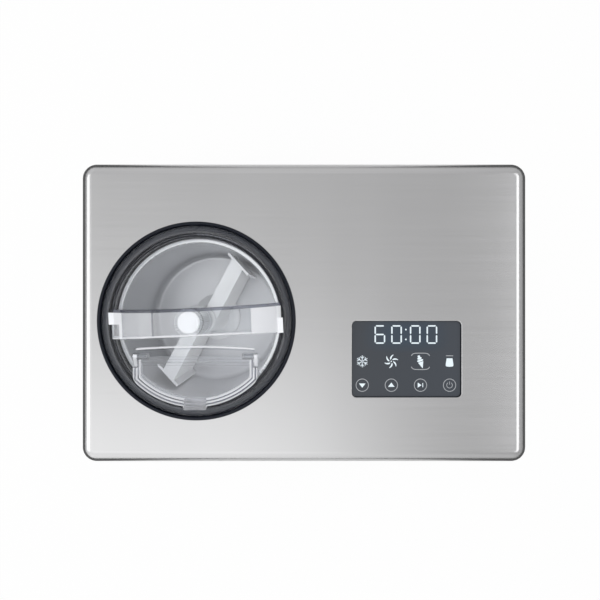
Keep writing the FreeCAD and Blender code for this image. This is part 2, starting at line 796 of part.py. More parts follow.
def sector(inner, outer, span, low, high, middle):
    """A block between two radii and over an angle about the upright axis at the origin."""
    wedge = Part.makeCylinder(outer, high - low, V(0, 0, low), UP, span)
    wedge = wedge.cut(Part.makeCylinder(inner, high - low + 2 * OVER, V(0, 0, low - OVER), UP))
    wedge.rotate(V(0, 0, 0), UP, middle - span / 2)
    return wedge


def cooling_well():
    """The cold cup round the bowl, with a flange at its top and a hole for the drive in its floor."""
    corner = BOWL_CORNER_R + BOWL_WALL
    low = WELL_FLOOR - WELL_WALL
    hole = SHAFT_R + SEAL_T + SCREW_HOLE_FIT
    section = [
        (hole, low, 0), (WELL_OUT - BOWL_TAPER, low, corner), (WELL_OUT, FLANGE_UNDER, FINE_R),
        (FLANGE_OUT, FLANGE_UNDER, 0), (FLANGE_OUT, WELL_TOP, 0), (WELL_IN, WELL_TOP, FINE_R),
        (WELL_IN - BOWL_TAPER, WELL_FLOOR, corner - WELL_WALL), (hole, WELL_FLOOR, 0),
    ]
    return turned(section).cut(well_screw_holes())


def well_screw_seats():
    """The middles of the screw seats under the well's flange."""
    seats = []
    for i in range(WELL_SCREW_COUNT):
        angle = 2 * math.pi * (i + 0.5) / WELL_SCREW_COUNT
        seats.append(V(
            BOWL_X + WELL_SCREW_R * math.cos(angle), BOWL_Y + WELL_SCREW_R * math.sin(angle), FLANGE_UNDER,
        ))
    return seats


def well_screw_holes():
    return group([screw_hole(M25_SCREW, seat, UP, WELL_SCREW_L + OVER) for seat in well_screw_seats()])


def well_screws():
    """Screws up through the well's flange into the collar."""
    return group([pan_screw(M25_SCREW, seat, UP, WELL_SCREW_L) for seat in well_screw_seats()])


def shaft_seal():
    """A lip seal in the hole of the well's floor, with a brim under it."""
    low = WELL_FLOOR - WELL_WALL
    bore = SHAFT_R + RUN_FIT
    neck = SHAFT_R + SEAL_T
    brim = SHAFT_R + SEAL_BRIM
    section = [
        (bore, low - SEAL_BRIM_T, 0), (brim, low - SEAL_BRIM_T, 0), (brim, low, 0),
        (neck, low, 0), (neck, WELL_FLOOR - FIT, 0), (bore, WELL_FLOOR - FIT, 0),
    ]
    return turned(section)


def coil_points():
    """Points along the evaporator coil's turns, a helix about the bowl's axis."""
    points = []
    for i in range(COIL_TURNS * COIL_STEPS + 1):
        angle = 2 * math.pi * i / COIL_STEPS
        z = COIL_LOW + COIL_PITCH * i / COIL_STEPS
        points.append(V(BOWL_X + COIL_R * math.cos(angle), BOWL_Y + COIL_R * math.sin(angle), z))
    return points


def evaporator_coil():
    """A tube wound on the well, with a straight lead at each end, as one pipe on arcs of a quarter turn."""
    points = coil_points()
    inlet, outlet = coil_ends()
    edges = [Part.LineSegment(inlet, points[0]).toShape()]
    for i in range(0, len(points) - 2, 2):
        edges.append(Part.Arc(points[i], points[i + 1], points[i + 2]).toShape())
    edges.append(Part.LineSegment(points[-1], outlet).toShape())
    section = Part.Wire(Part.Circle(inlet, ALONG_Y, TUBE_R).toShape())
    return Part.Wire(edges).makePipeShell([section], True, False)


def well_insulation():
    """A foam cup round the coil, standing on the gearbox, with holes for the drive and the coil's leads."""
    low = WELL_FLOOR - WELL_WALL
    foam = disc(FOAM_OUT, COVER_TOP, FLANGE_UNDER)
    foam = foam.cut(disc(FOAM_IN, low, FLANGE_UNDER))
    foam = foam.cut(disc(SHAFT_R + SEAL_BRIM + FIT, COVER_TOP, low))
    x = BOWL_X + COIL_R
    for z, way in ((COIL_LOW, -1), (COIL_HIGH, 1)):
        foam = foam.cut(rod(TUBE_R + FIT, V(x, BOWL_Y, z), ALONG_Y * way, FOAM_OUT))
    head_r = M25_SCREW[0] + COIL_CLEAR
    head_h = M25_SCREW[1] + COIL_CLEAR
    pockets = [rod(head_r, seat, -UP, head_h) for seat in well_screw_seats()]
    return foam.cut(group(pockets))


def ice_bowl():
    """The lift-out bowl: a rolled rim, a rounded floor and a middle tube that stands over the drive."""
    outer_low = BOWL_OUT - BOWL_TAPER
    inner_low = BOWL_R - BOWL_TAPER
    tube_in = SHAFT_R + BOWL_TUBE_CLEAR
    section = [
        (tube_in, BOWL_BOTTOM, 0), (outer_low, BOWL_BOTTOM, BOWL_CORNER_R + BOWL_WALL),
        (BOWL_OUT, RIM_Z - BOWL_RIM_T, FINE_R), (RIM_R, RIM_Z - BOWL_RIM_T, FINE_R), (RIM_R, RIM_Z, FINE_R),
        (BOWL_R, RIM_Z, SOFT_R), (inner_low, BOWL_FLOOR, BOWL_CORNER_R), (BOWL_TUBE_R, BOWL_FLOOR, SOFT_R),
        (BOWL_TUBE_R, TUBE_TOP, FINE_R), (tube_in, TUBE_TOP, FINE_R),
    ]
    return turned(section)


# Paddle and drive

def hex_prism(radius, low, high):
    """An upright hexagonal bar about the origin, given by its corner radius."""
    angles = [math.pi * i / 3 for i in range(6)]
    corners = [(V(radius * math.cos(a), radius * math.sin(a), low), 0) for a in angles]
    return face_of(corners).extrude(UP * (high - low))


def paddle():
    """Two hollow arms with scraper plates on a sleeve that drops over the bowl's tube."""
    socket_low = TUBE_TOP + SOCKET_GAP
    base_top = PADDLE_LOW + PADDLE_BASE_T
    hub = turned([
        (0, PADDLE_LOW, 0), (PADDLE_BASE_R, PADDLE_LOW, FINE_R), (PADDLE_BASE_R, base_top, FINE_R),
        (PADDLE_HUB_R + HUB_DRAFT, PADDLE_LOW + PADDLE_SKIRT_H, HUB_BLEND_R),
        (PADDLE_HUB_R, HUB_TOP, HUB_BLEND_R),
        (PADDLE_PIN_R, HUB_TOP, SOFT_R), (PADDLE_PIN_R, PIN_TOP, SOFT_R), (0, PIN_TOP, 0),
    ], 0, 0)
    body = joined([hub] + [paddle_arm(side) for side in (0, 180)])
    body = body.cut(disc(BOWL_TUBE_R + SLEEVE_CLEAR, PADDLE_LOW - OVER, socket_low, 0, 0))
    body = body.cut(hex_prism(SHAFT_R + SOCKET_CLEAR, socket_low - OVER, DOG_TOP + SLEEVE_CLEAR))
    return at_bowl(body, PADDLE_ANGLE)


def paddle_arm(side):
    """One arm along +X about the origin: a channel open below, with an upright scraper plate at its end."""
    low = PADDLE_LOW + PADDLE_ARM_LIFT
    height = PADDLE_TOP - low
    lead = math.radians(SCRAPER_LEAD)
    heading = math.radians(SCRAPER_HEADING)
    tip = V(SCRAPER_R * math.cos(lead), SCRAPER_R * math.sin(lead), low)
    along = V(math.cos(heading), math.sin(heading), 0)
    tail = tip + along * SCRAPER_L
    inward = V(along.y, -along.x, 0)
    plate_corners = [tip, tail, tail + inward * SCRAPER_T, tip + inward * SCRAPER_T]
    plate = face_of([(p, SCRAPER_T / 3) for p in plate_corners]).extrude(UP * height)
    arm = channel_face(tip + inward * (SCRAPER_T / 2), along, 0.0, 0.0, low).extrude(UP * height)
    hollow_start = tip + inward * (SCRAPER_T + ROOT)
    hollow = channel_face(hollow_start, along, PADDLE_WALL, PADDLE_HUB_R, low - OVER)
    hollow = hollow.extrude(UP * (height - PADDLE_WALL + OVER))
    whole = joined([arm.cut(hollow), plate])
    whole.rotate(V(0, 0, 0), UP, side)
    return whole


def channel_face(start, along, inset, near, z):
    """The arm's outline in plan from an x near its hub to the scraper plate's line, shrunk by an inset."""
    side_a = -PADDLE_ARM_OFFSET - PADDLE_ARM_W / 2 + inset
    side_b = -PADDLE_ARM_OFFSET + PADDLE_ARM_W / 2 - inset
    far_a = meet(start, along, side_a)
    far_b = meet(start, along, side_b)
    corners = [V(near, side_a, z), V(far_a, side_a, z), V(far_b, side_b, z), V(near, side_b, z)]
    return face_of([(p, 0) for p in corners])


def meet(start, along, y):
    """Where the line through a point along a direction crosses a given y, as an x."""
    return start.x + along.x * (y - start.y) / along.y


def drive_shaft():
    """A round shaft from the gearbox to the top of the bowl's tube, and a hexagonal dog above it."""
    round_part = disc(SHAFT_R, CASE_Z + FIT, TUBE_TOP, 0, 0)
    dog = hex_prism(SHAFT_R, TUBE_TOP - ROOT, DOG_TOP)
    return at_bowl(joined([round_part, dog]), PADDLE_ANGLE)


def gear_face(module, teeth, z):
    """A flat gear outline about the origin with a tooth on +X and arcs through involute points as flanks."""
    pitch = module * teeth / 2
    base = pitch * math.cos(math.radians(PRESSURE_ANGLE))
    tip = pitch + TOOTH_TIP * module
    root = pitch - TOOTH_ROOT * module
    half_tooth = (math.pi * module / 2 - BACKLASH) / (2 * pitch)
    low = max(base, root)

    def spread(radius):
        angle = math.acos(min(base / radius, 1.0))
        return math.tan(angle) - angle

    def flank(radius, side, middle):
        angle = middle + side * (half_tooth + spread(pitch) - spread(radius))
        return V(radius * math.cos(angle), radius * math.sin(angle), z)

    def rooted(side, middle):
        angle = middle + side * (half_tooth + spread(pitch))
        return V(root * math.cos(angle), root * math.sin(angle), z)

    edges = []
    step = 2 * math.pi / teeth
    for i in range(teeth):
        middle = step * i
        after = step * (i + 1)
        mid_r = (low + tip) / 2
        foot_a = flank(low, -1, middle)
        foot_b = flank(low, 1, middle)
        edges.append(Part.LineSegment(rooted(-1, middle), foot_a).toShape())
        edges.append(Part.Arc(foot_a, flank(mid_r, -1, middle), flank(tip, -1, middle)).toShape())
        crown = V(tip * math.cos(middle), tip * math.sin(middle), z)
        edges.append(Part.Arc(flank(tip, -1, middle), crown, flank(tip, 1, middle)).toShape())
        edges.append(Part.Arc(flank(tip, 1, middle), flank(mid_r, 1, middle), foot_b).toShape())
        edges.append(Part.LineSegment(foot_b, rooted(1, middle)).toShape())
        valley_angle = middle + step / 2
        valley = V(root * math.cos(valley_angle), root * math.sin(valley_angle), z)
        edges.append(Part.Arc(rooted(1, middle), valley, rooted(-1, after)).toShape())
    return Part.Face(Part.Wire(edges))


def gear(module, teeth, low, bore, x, turn):
    """A spur gear on the upright axis at x, in the drive's plane, with one tooth at the turn angle."""
    body = gear_face(module, teeth, low).extrude(UP * GEAR_T)
    body = body.cut(disc(bore, low - OVER, low + GEAR_T + OVER, 0, 0))
    body.rotate(V(0, 0, 0), UP, turn)
    body.translate(V(x, BOWL_Y, 0))
    return body


def output_gear():
    return gear(MODULE_SLOW, WHEEL_TEETH, SLOW_Z, SHAFT_R + PRESS_FIT, BOWL_X, 0)


def idler_gear():
    """A compound gear: a small pinion that meshes with the output gear, under a large wheel."""
    bore = ROTOR_SHAFT_R + RUN_FIT
    small = gear(MODULE_SLOW, PINION_TEETH, SLOW_Z, bore, IDLER_X, PINION_TURN)
    large = gear(MODULE_FAST, WHEEL_TEETH, FAST_Z, bore, IDLER_X, 0)
    neck_r = MODULE_SLOW * (PINION_TEETH / 2 - TOOTH_ROOT)
    neck = ring(bore, neck_r, SLOW_Z + GEAR_T - ROOT, FAST_Z + ROOT, IDLER_X)
    return joined([small, neck, large])


def idler_pin():
    return disc(ROTOR_SHAFT_R, CASE_Z, COVER_TOP, IDLER_X)


def motor_rotor():
    return ring(ROTOR_SHAFT_R + PRESS_FIT, ROTOR_R, STATOR_LOW + AIR_GAP, CASE_Z - AIR_GAP, ROTOR_X)


def rotor_shaft():
    """The motor's shaft with its pinion cut on it."""
    shaft = disc(ROTOR_SHAFT_R, STATOR_LOW - END_PLATE_T, COVER_TOP, ROTOR_X)
    pinion = gear(MODULE_FAST, PINION_TEETH, FAST_Z, ROTOR_SHAFT_R - ROOT, ROTOR_X, PINION_TURN)
    return joined([shaft, pinion])


def motor_stator():
    body = slab(2 * STATOR_R, 2 * STATOR_R, STATOR_CORNER_R, STATOR_LOW, CASE_Z, ROTOR_X, BOWL_Y)
    return body.cut(disc(ROTOR_R + AIR_GAP, STATOR_LOW - OVER, CASE_Z + OVER, ROTOR_X))


def motor_end_plate():
    low = STATOR_LOW - END_PLATE_T
    plate = slab(2 * STATOR_R, 2 * STATOR_R, STATOR_CORNER_R, low, STATOR_LOW, ROTOR_X, BOWL_Y)
    return plate.cut(disc(ROTOR_SHAFT_R + RUN_FIT, low - OVER, STATOR_LOW + OVER, ROTOR_X))


def case_span():
    """The gearbox's outside in plan: lowest and highest x, and half its depth."""
    reach = MODULE_SLOW * (WHEEL_TEETH / 2 + TOOTH_TIP) + GEAR_SIDE_GAP + CASE_WALL
    return BOWL_X - reach, ROTOR_X + CASE_END_ROOM + CASE_WALL, reach


def case_ears():
    """The places of the gearbox's four fixing ears, beyond its long sides."""
    low, _, half = case_span()
    y = half + CASE_EAR_R - ROOT
    return [(x, BOWL_Y + side * y) for x in (low + 2 * CASE_EAR_R, IDLER_X) for side in (-1, 1)]


def gearbox_case():
    low, high, half = case_span()
    middle = (low + high) / 2
    length = high - low
    wall = 2 * CASE_WALL
    floor = CASE_Z + CASE_WALL
    body = slab(length, 2 * half, CASE_CORNER_R, CASE_Z, CASE_TOP, middle, BOWL_Y)
    ears = [disc(CASE_EAR_R, CASE_Z, CASE_Z + CASE_EAR_H, x, y) for x, y in case_ears()]
    inner_r = CASE_CORNER_R - CASE_WALL
    inside = slab(length - wall, 2 * half - wall, inner_r, floor, CASE_TOP + OVER, middle, BOWL_Y)
    holes = [
        disc(SHAFT_R + BUSH_T, CASE_Z - OVER, floor + OVER),
        disc(ROTOR_SHAFT_R + PRESS_FIT, CASE_Z - OVER, floor + OVER, IDLER_X),
        disc(ROTOR_SHAFT_R + AIR_GAP, CASE_Z - OVER, floor + OVER, ROTOR_X),
    ]
    holes += [screw_hole(M3_SCREW, V(x, y, CASE_Z), UP, CASE_EAR_H) for x, y in case_ears()]
    return joined([body] + ears).cut(inside).cut(group(holes))


def gearbox_cover():
    low, high, half = case_span()
    plate = slab(high - low, 2 * half, CASE_CORNER_R, CASE_TOP, COVER_TOP, (low + high) / 2, BOWL_Y)
    holes = [
        disc(SHAFT_R + BUSH_T, CASE_TOP, COVER_TOP),
        disc(ROTOR_SHAFT_R + PRESS_FIT, CASE_TOP, COVER_TOP, IDLER_X),
        disc(ROTOR_SHAFT_R + RUN_FIT, CASE_TOP, COVER_TOP, ROTOR_X),
    ]
    return plate.cut(group(holes))


def shaft_bushes():
    """The bearing bushes of the drive shaft in the gearbox's floor and cover."""
    spans = ((CASE_Z, CASE_Z + CASE_WALL), (CASE_TOP, COVER_TOP))
    outer = SHAFT_R + BUSH_T - PRESS_FIT
    return group([ring(SHAFT_R + RUN_FIT, outer, low, high) for low, high in spans])


def gearbox_screws():
    seats = [V(x, y, CASE_Z + CASE_EAR_H) for x, y in case_ears()]
    return group([pan_screw(M3_SCREW, seat, -UP, CASE_SCREW_L) for seat in seats])


# Lid

def lid():
    """The clear lid: a plate with a skirt, a seal groove, a bead, a post, lugs and a refill opening."""
    skirt_low = LID_LOW - LID_SKIRT_H
    groove_in = SEAL_IN - FIT
    groove_out = SEAL_OUT + FIT
    groove_top = LID_LOW + SEAL_SINK + FIT
    bore = BEARING_R + PRESS_FIT
    bead_top = TOP_Z + LID_BEAD_H
    body = turned([
        (bore, LID_LOW, 0), (SKIRT_IN, LID_LOW, SOFT_R), (SKIRT_IN, skirt_low, FINE_R),
        (SKIRT_OUT, skirt_low, FINE_R), (SKIRT_OUT, LID_LOW, 0), (groove_in, LID_LOW, 0),
        (groove_in, groove_top, 0), (groove_out, groove_top, 0), (groove_out, LID_LOW, 0),
        (LID_R, LID_LOW, FINE_R), (LID_R, TOP_Z, FINE_R), (BEAD_OUT, TOP_Z, FINE_R),
        (BEAD_OUT, bead_top, SOFT_R), (BEAD_IN, bead_top, SOFT_R), (BEAD_IN, TOP_Z, FINE_R),
        (POST_R, TOP_Z, POST_BLEND_R), (POST_R, POST_TOP, FINE_R), (bore, POST_TOP, 0),
    ], 0, 0)
    pieces = [body, flap_block(UPSTAND_INSET, TOP_Z - ROOT, TOP_Z + UPSTAND_H), brow()]
    pieces += [flap_ear(side) for side in (-1, 1)]
    lug_high = LEDGE_UNDER - LUG_CLEAR
    for side in (0, 180):
        pieces.append(sector(
            SKIRT_OUT - OVER, SKIRT_OUT + LUG_REACH, LUG_SPAN, lug_high - LUG_H, lug_high, LUG_ANGLE + side,
        ))
    body = joined(pieces).cut(flap_block(OPENING_INSET, LID_LOW - OVER, TOP_Z + UPSTAND_H + OVER))
    return at_bowl(body.cut(hinge_rods(FLAP_PIN_R + PRESS_FIT, EAR_IN, EAR_OUT)))


def hinge_rods(radius, start, end):
    """A rod on the flap's hinge axis at each side, between two distances from the middle."""
    rods = []
    for side in (-1, 1):
        place = V(side * start, FLAP_AXIS_Y, FLAP_AXIS_Z)
        rods.append(rod(radius, place, ALONG_X * side, end - start))
    return group(rods)


def brow():
    """A low arched rib on the lid behind the flap's hinge."""
    half = FLAP_HALF_W
    low = TOP_Z - ROOT
    ends = [V(-half, -BROW_BACK, low), V(half, -BROW_BACK, low)]
    middle = V(0, BROW_RISE - BROW_BACK, low)
    shift = V(0, BROW_T, 0)
    edges = [
        Part.Arc(ends[0], middle, ends[1]).toShape(),
        Part.LineSegment(ends[1], ends[1] + shift).toShape(),
        Part.Arc(ends[1] + shift, middle + shift, ends[0] + shift).toShape(),
        Part.LineSegment(ends[0] + shift, ends[0]).toShape(),
    ]
    return Part.Face(Part.Wire(edges)).extrude(UP * (BROW_H + ROOT))


def lid_seal():
    return ring(SEAL_IN, SEAL_OUT, LEDGE_TOP + RUN_FIT, LID_LOW + SEAL_SINK)


def flap_block(inset, low, high):
    """The refill flap's outline shrunk by an inset, as a block: a chord, two short sides and an arc."""
    half = FLAP_HALF_W - inset
    radius = FLAP_R - inset
    back = FLAP_AXIS_Y - (FLAP_BARREL_R + inset - FLAP_SKIRT_T if inset > 0 else 0)
    side_y = -math.sqrt(radius**2 - half**2)
    left_back = V(-half, back, low)
    right_back = V(half, back, low)
    left = V(-half, side_y, low)
    right = V(half, side_y, low)
    edges = [
        Part.LineSegment(right_back, left_back).toShape(),
        Part.LineSegment(left_back, left).toShape(),
        Part.Arc(left, V(0, -radius, low), right).toShape(),
        Part.LineSegment(right, right_back).toShape(),
    ]
    block = Part.Face(Part.Wire(edges)).extrude(UP * (high - low))
    corners = [
        e for e in block.Edges
        if e.BoundBox.ZLength > (high - low) / 2 and abs(e.BoundBox.Center.y - side_y) < SAME
    ]
    return block.makeFillet(FLAP_CORNER_R - inset, corners)


def flap_ear(side):
    """The lid's ear beside the flap's hinge knuckle, an upright plate rounded over the hinge axis."""
    low = TOP_Z - ROOT
    reach = FLAP_EAR_BACK
    top = FLAP_AXIS_Z + reach
    corners = [
        (-FLAP_EAR_FRONT, low, 0), (reach, low, 0), (reach, top, reach - ROUND_SLACK),
        (-reach, top, reach / 2), (-FLAP_EAR_FRONT, TOP_Z + reach, reach / 2),
    ]
    points = [(V(side * EAR_IN, FLAP_AXIS_Y + y, z), r) for y, z, r in corners]
    return face_of(points).extrude(ALONG_X * (side * FLAP_EAR_T))


def refill_flap():
    """The hinged flap: a plate with an outer skirt, an inner plug rim, two hinge knuckles and a thumb tab."""
    high = FLAP_LOW + FLAP_T
    skirt_low = TOP_Z + FLAP_LIFT
    far = FLAP_HALF_W + OVER
    plate = flap_block(0, FLAP_LOW, high)
    rim = [e for e in plate.Edges if e.BoundBox.ZMin > high - SAME and e.BoundBox.YMin < FLAP_AXIS_Y - SAME]
    plate = plate.makeFillet(FLAP_EDGE_R, rim)
    skirt = flap_block(0, skirt_low, FLAP_LOW + ROOT).cut(flap_block(FLAP_SKIRT_T, skirt_low - OVER, high))
    skirt = skirt.cut(box(-far, far, FLAP_AXIS_Y - FLAP_EAR_FRONT, 0, TOP_Z, FLAP_LOW))
    plug_low = FLAP_LOW - PLUG_H
    plug = flap_block(PLUG_INSET, plug_low, FLAP_LOW + ROOT)
    plug = plug.cut(flap_block(PLUG_INSET + PLUG_T, plug_low - OVER, high))
    body = joined([plate, skirt, plug])
    ear_room = FLAP_EAR_FRONT + FLAP_GAP
    for side in (-1, 1):
        x0, x1 = sorted((side * BARREL_HALF, side * far))
        body = body.cut(box(x0, x1, FLAP_AXIS_Y - ear_room, 0, TOP_Z, high + OVER))
    knuckles = hinge_rods(FLAP_BARREL_R, BARREL_HALF - FLAP_KNUCKLE_L, BARREL_HALF)
    body = joined([body, *knuckles.Solids, flap_tab()])
    dip = V(0, -FLAP_R - FLAP_TAB_L, high + FLAP_TAB_H - FLAP_TAB_DIP + FLAP_TAB_DIP_R)
    body = body.cut(rod(FLAP_TAB_DIP_R, dip, ALONG_Y, 2 * FLAP_TAB_L))
    return at_bowl(body.cut(hinge_rods(FLAP_PIN_R + RUN_FIT, FLAP_PIN_END - FLAP_GAP, BARREL_HALF)))


def flap_tab():
    """The thumb tab on the flap's front edge."""
    half = FLAP_TAB_W / 2
    front = -FLAP_R - FLAP_TAB_REACH
    back = -FLAP_R + FLAP_TAB_L - FLAP_TAB_REACH
    corners = [(-half, back), (-half, front), (half, front), (half, back)]
    points = [(V(x, y, FLAP_LOW), FLAP_TAB_CORNER_R) for x, y in corners]
    return face_of(points).extrude(UP * (FLAP_T + FLAP_TAB_H))


def flap_pins():
    """The two hinge pins, pressed into the lid's ears."""
    return at_bowl(hinge_rods(FLAP_PIN_R, FLAP_PIN_END, EAR_OUT))


def handle_plan(inset, low, high):
    """The handle's outline in plan shrunk by an inset, as a block with a waisted arc on each long side."""
    half = HANDLE_HALF - inset
    end = HANDLE_END_W / 2 - inset
    mid = HANDLE_MID_W / 2 - inset
    corners = [V(-half, -end, low), V(half, -end, low), V(half, end, low), V(-half, end, low)]
    edges = [
        Part.Arc(corners[0], V(0, -mid, low), corners[1]).toShape(),
        Part.LineSegment(corners[1], corners[2]).toShape(),
        Part.Arc(corners[2], V(0, mid, low), corners[3]).toShape(),
        Part.LineSegment(corners[3], corners[0]).toShape(),
    ]
    return Part.Face(Part.Wire(edges)).extrude(UP * (high - low))


def arch_drum(radius):
    """A drum along Y about the handle's arch centre."""
    return rod(radius, V(0, -HANDLE_END_W, ARCH_Z), ALONG_Y, 2 * HANDLE_END_W)


def lid_handle():
    """An arched strap with a lip down each side, standing on the lid at two ends that each have a tooth."""
    base = TOP_Z + PRESS_FIT
    strap = handle_plan(0, base, HANDLE_TOP + OVER).common(arch_drum(ARCH_R))
    crown = [e for e in strap.Edges if e.BoundBox.ZMax > HANDLE_TOP - SAME]
    strap = strap.makeFillet(HANDLE_EDGE_R, crown)
    under = arch_drum(ARCH_R - HANDLE_T - HANDLE_LIP)
    channel = handle_plan(HANDLE_LIP_T, base - OVER, HANDLE_TOP).common(arch_drum(ARCH_R - HANDLE_T))
    half = HANDLE_END_W / 2
    pieces = [strap.cut(under).cut(channel)]
    for side in (-1, 1):
        x0, x1 = sorted((side * (HANDLE_HALF - HANDLE_TOOTH_H), side * (HANDLE_HALF + HANDLE_TOOTH)))
        y0, y1 = sorted((0, -side * half))
        pieces.append(box(x0, x1, y0, y1, base, TOP_Z + HANDLE_TOOTH_H))
    body = joined(pieces).cut(disc(POST_R + FIT, TOP_Z, POST_TOP + FIT / 2, 0, 0))
    return at_bowl(body, HANDLE_YAW)


def paddle_bearing():
    """A white bush in the lid's post, bored from below for the paddle's top pin."""
    bore = PADDLE_PIN_R + PIN_CLEAR
    bore_top = PIN_TOP + PIN_END_GAP
    brim = BEARING_R + BEARING_BRIM
    low = LID_LOW - BEARING_BRIM_T
    section = [
        (0, bore_top, 0), (bore, bore_top, 0), (bore, low, FINE_R), (brim, low, FINE_R), (brim, LID_LOW, 0),
        (BEARING_R, LID_LOW, 0), (BEARING_R, POST_TOP, FINE_R), (0, POST_TOP, 0),
    ]
    return turned(section)


# Cooling circuit

def mount_places():
    """The places of the compressor's four rubber mounts."""
    return [(COMPRESSOR_X + a * MOUNT_X, COMPRESSOR_Y + b * MOUNT_Y) for a in (-1, 1) for b in (-1, 1)]


def compressor_base():
    low = COMPRESSOR_Z - COMPRESSOR_BASE_T
    margin = 2 * GROMMET_R
    corner = GROMMET_R - GROMMET_TAPER
    plate = slab(
        2 * MOUNT_X + margin, 2 * MOUNT_Y + margin, corner, low, COMPRESSOR_Z, COMPRESSOR_X, COMPRESSOR_Y,
    )
    holes = [disc(GROMMET_NECK_R + FIT, low, COMPRESSOR_Z, x, y) for x, y in mount_places()]
    return plate.cut(group(holes))


def compressor_mounts():
    """Rubber grommets in the base plate, each on a peg of the tray."""
    low = TRAY_FLOOR
    seat = COMPRESSOR_Z - COMPRESSOR_BASE_T
    top = COMPRESSOR_Z + GROMMET_TOP_T
    bore = MOUNT_PEG_R + FIT
    head = GROMMET_R - GROMMET_TAPER
    section = [
        (bore, low, 0), (GROMMET_R, low, FINE_R), (head, seat, 0), (GROMMET_NECK_R, seat, 0),
        (GROMMET_NECK_R, COMPRESSOR_Z, 0), (head, COMPRESSOR_Z, 0), (head, top, FINE_R), (bore, top, 0),
    ]
    return group([turned(section, x, y) for x, y in mount_places()])


def compressor_bolts():
    top = COMPRESSOR_Z + GROMMET_TOP_T
    return group([pan_screw(MOUNT_SCREW, V(x, y, top), -UP, top - FOOT_H) for x, y in mount_places()])


def compressor_lower_shell():
    r = COMPRESSOR_R
    t = COMPRESSOR_WALL
    brim = r + COMPRESSOR_BRIM
    section = [
        (0, COMPRESSOR_Z, 0), (r, COMPRESSOR_Z, COMPRESSOR_DISH_R), (r, SPLIT_Z - t, 0),
        (brim, SPLIT_Z - t, 0), (brim, SPLIT_Z, 0), (r - t, SPLIT_Z, 0),
        (r - t, COMPRESSOR_Z + t, COMPRESSOR_DISH_R - t), (0, COMPRESSOR_Z + t, 0),
    ]
    return turned(section, COMPRESSOR_X, COMPRESSOR_Y)


def stub_ends():
    """The face middles of the compressor's suction and discharge stubs, on its back."""
    y = COMPRESSOR_Y + COMPRESSOR_R + COMPRESSOR_BRIM
    z = SPLIT_Z + STUB_FROM_SPLIT
    return V(COMPRESSOR_X - STUB_SPREAD, y, z), V(COMPRESSOR_X + STUB_SPREAD, y, z)


def compressor_upper_shell():
    r = COMPRESSOR_R
    t = COMPRESSOR_WALL
    brim = r + COMPRESSOR_BRIM
    high = COMPRESSOR_Z + COMPRESSOR_H
    section = [
        (0, high, 0), (r, high, COMPRESSOR_DOME_R), (r, SPLIT_Z + t, 0), (brim, SPLIT_Z + t, 0),
        (brim, SPLIT_Z, 0), (r - t, SPLIT_Z, 0), (r - t, high - t, COMPRESSOR_DOME_R - t), (0, high - t, 0),
    ]
    shell = turned(section, COMPRESSOR_X, COMPRESSOR_Y)
    length = COMPRESSOR_BRIM + COMPRESSOR_WALL + STUB_SPREAD / 2
    stubs = [rod(TUBE_R + STUB_T, end - ALONG_Y * length, ALONG_Y, length) for end in stub_ends()]
    room = disc(r - t, SPLIT_Z, high - COMPRESSOR_DOME_R, COMPRESSOR_X, COMPRESSOR_Y)
    return joined([shell] + stubs).cut(room)


def compressor_pump():
    """The pump and motor in the shell, standing on the shell's floor on three legs."""
    low = COMPRESSOR_Z + COMPRESSOR_WALL
    seat = low + PUMP_LEG_H
    pieces = [disc(PUMP_R, seat, seat + PUMP_H, COMPRESSOR_X, COMPRESSOR_Y)]
    for i in range(PUMP_LEGS):
        angle = 2 * math.pi * i / PUMP_LEGS
        x = COMPRESSOR_X + PUMP_R / 2 * math.cos(angle)
        y = COMPRESSOR_Y + PUMP_R / 2 * math.sin(angle)
        pieces.append(disc(PUMP_LEG_R, low, seat + ROOT, x, y))
    return joined(pieces)


def compressor_terminal_cover():
    """The plastic box over the compressor's terminals, on its front."""
    z = SPLIT_Z + COMPRESSOR_BRIM
    y = COMPRESSOR_Y - COMPRESSOR_R
    half = TERMINAL_W / 2
    front = y - TERMINAL_REACH
    cover = box(COMPRESSOR_X - half, COMPRESSOR_X + half, front, COMPRESSOR_Y - half, z, z + TERMINAL_H)
    cover = cover.makeFillet(TERMINAL_CORNER_R, [e for e in cover.Edges if e.BoundBox.YMax < front + SAME])
    return cover.cut(disc(COMPRESSOR_R + SCREW_HOLE_FIT, z, z + TERMINAL_H, COMPRESSOR_X, COMPRESSOR_Y))


def run_heights():
    """The heights of the condenser tube's runs, from the top down."""
    return [CONDENSER_HIGH - RUN_PITCH * i for i in range(CONDENSER_RUNS)]


def condenser_tube():
    """One serpentine tube: in at the top at the back, out at the bottom at the front and on to the drier."""
    heights = run_heights()
    points = [condenser_inlet()]
    side = -1
    for z, below in zip(heights, heights[1:]):
        end = FAN_Y + side * (RUN_HALF + RUN_PITCH / 2)
        points += [V(CONDENSER_X, end, z), V(CONDENSER_X, end, below)]
        side = -side
    drier = drier_place()
    points += [V(CONDENSER_X, drier.y, heights[-1]), V(drier.x, drier.y, heights[-1]), drier]
    return pipe(points, RUN_PITCH / 2 - ROUND_SLACK, TUBE_R)


def condenser_inlet():
    """The middle of the condenser tube's upper end face, at the back."""
    return V(CONDENSER_X, FAN_Y + RUN_HALF + RUN_PITCH / 4, CONDENSER_HIGH)


def condenser_fins():
    fins = []
    x0 = CONDENSER_X - CONDENSER_T / 2
    for i in range(FIN_COUNT):
        y = FAN_Y - FINS_HALF + FIN_PITCH * i - FIN_T / 2
        fin = box(x0, x0 + CONDENSER_T, y, y + FIN_T, CRADLE_TOP, CONDENSER_HIGH + FIN_EDGE)
        holes = [rod(TUBE_R + RUN_FIT, V(CONDENSER_X, y, z), ALONG_Y, FIN_T) for z in run_heights()]
        fins.append(fin.cut(group(holes)))
    return group(fins)


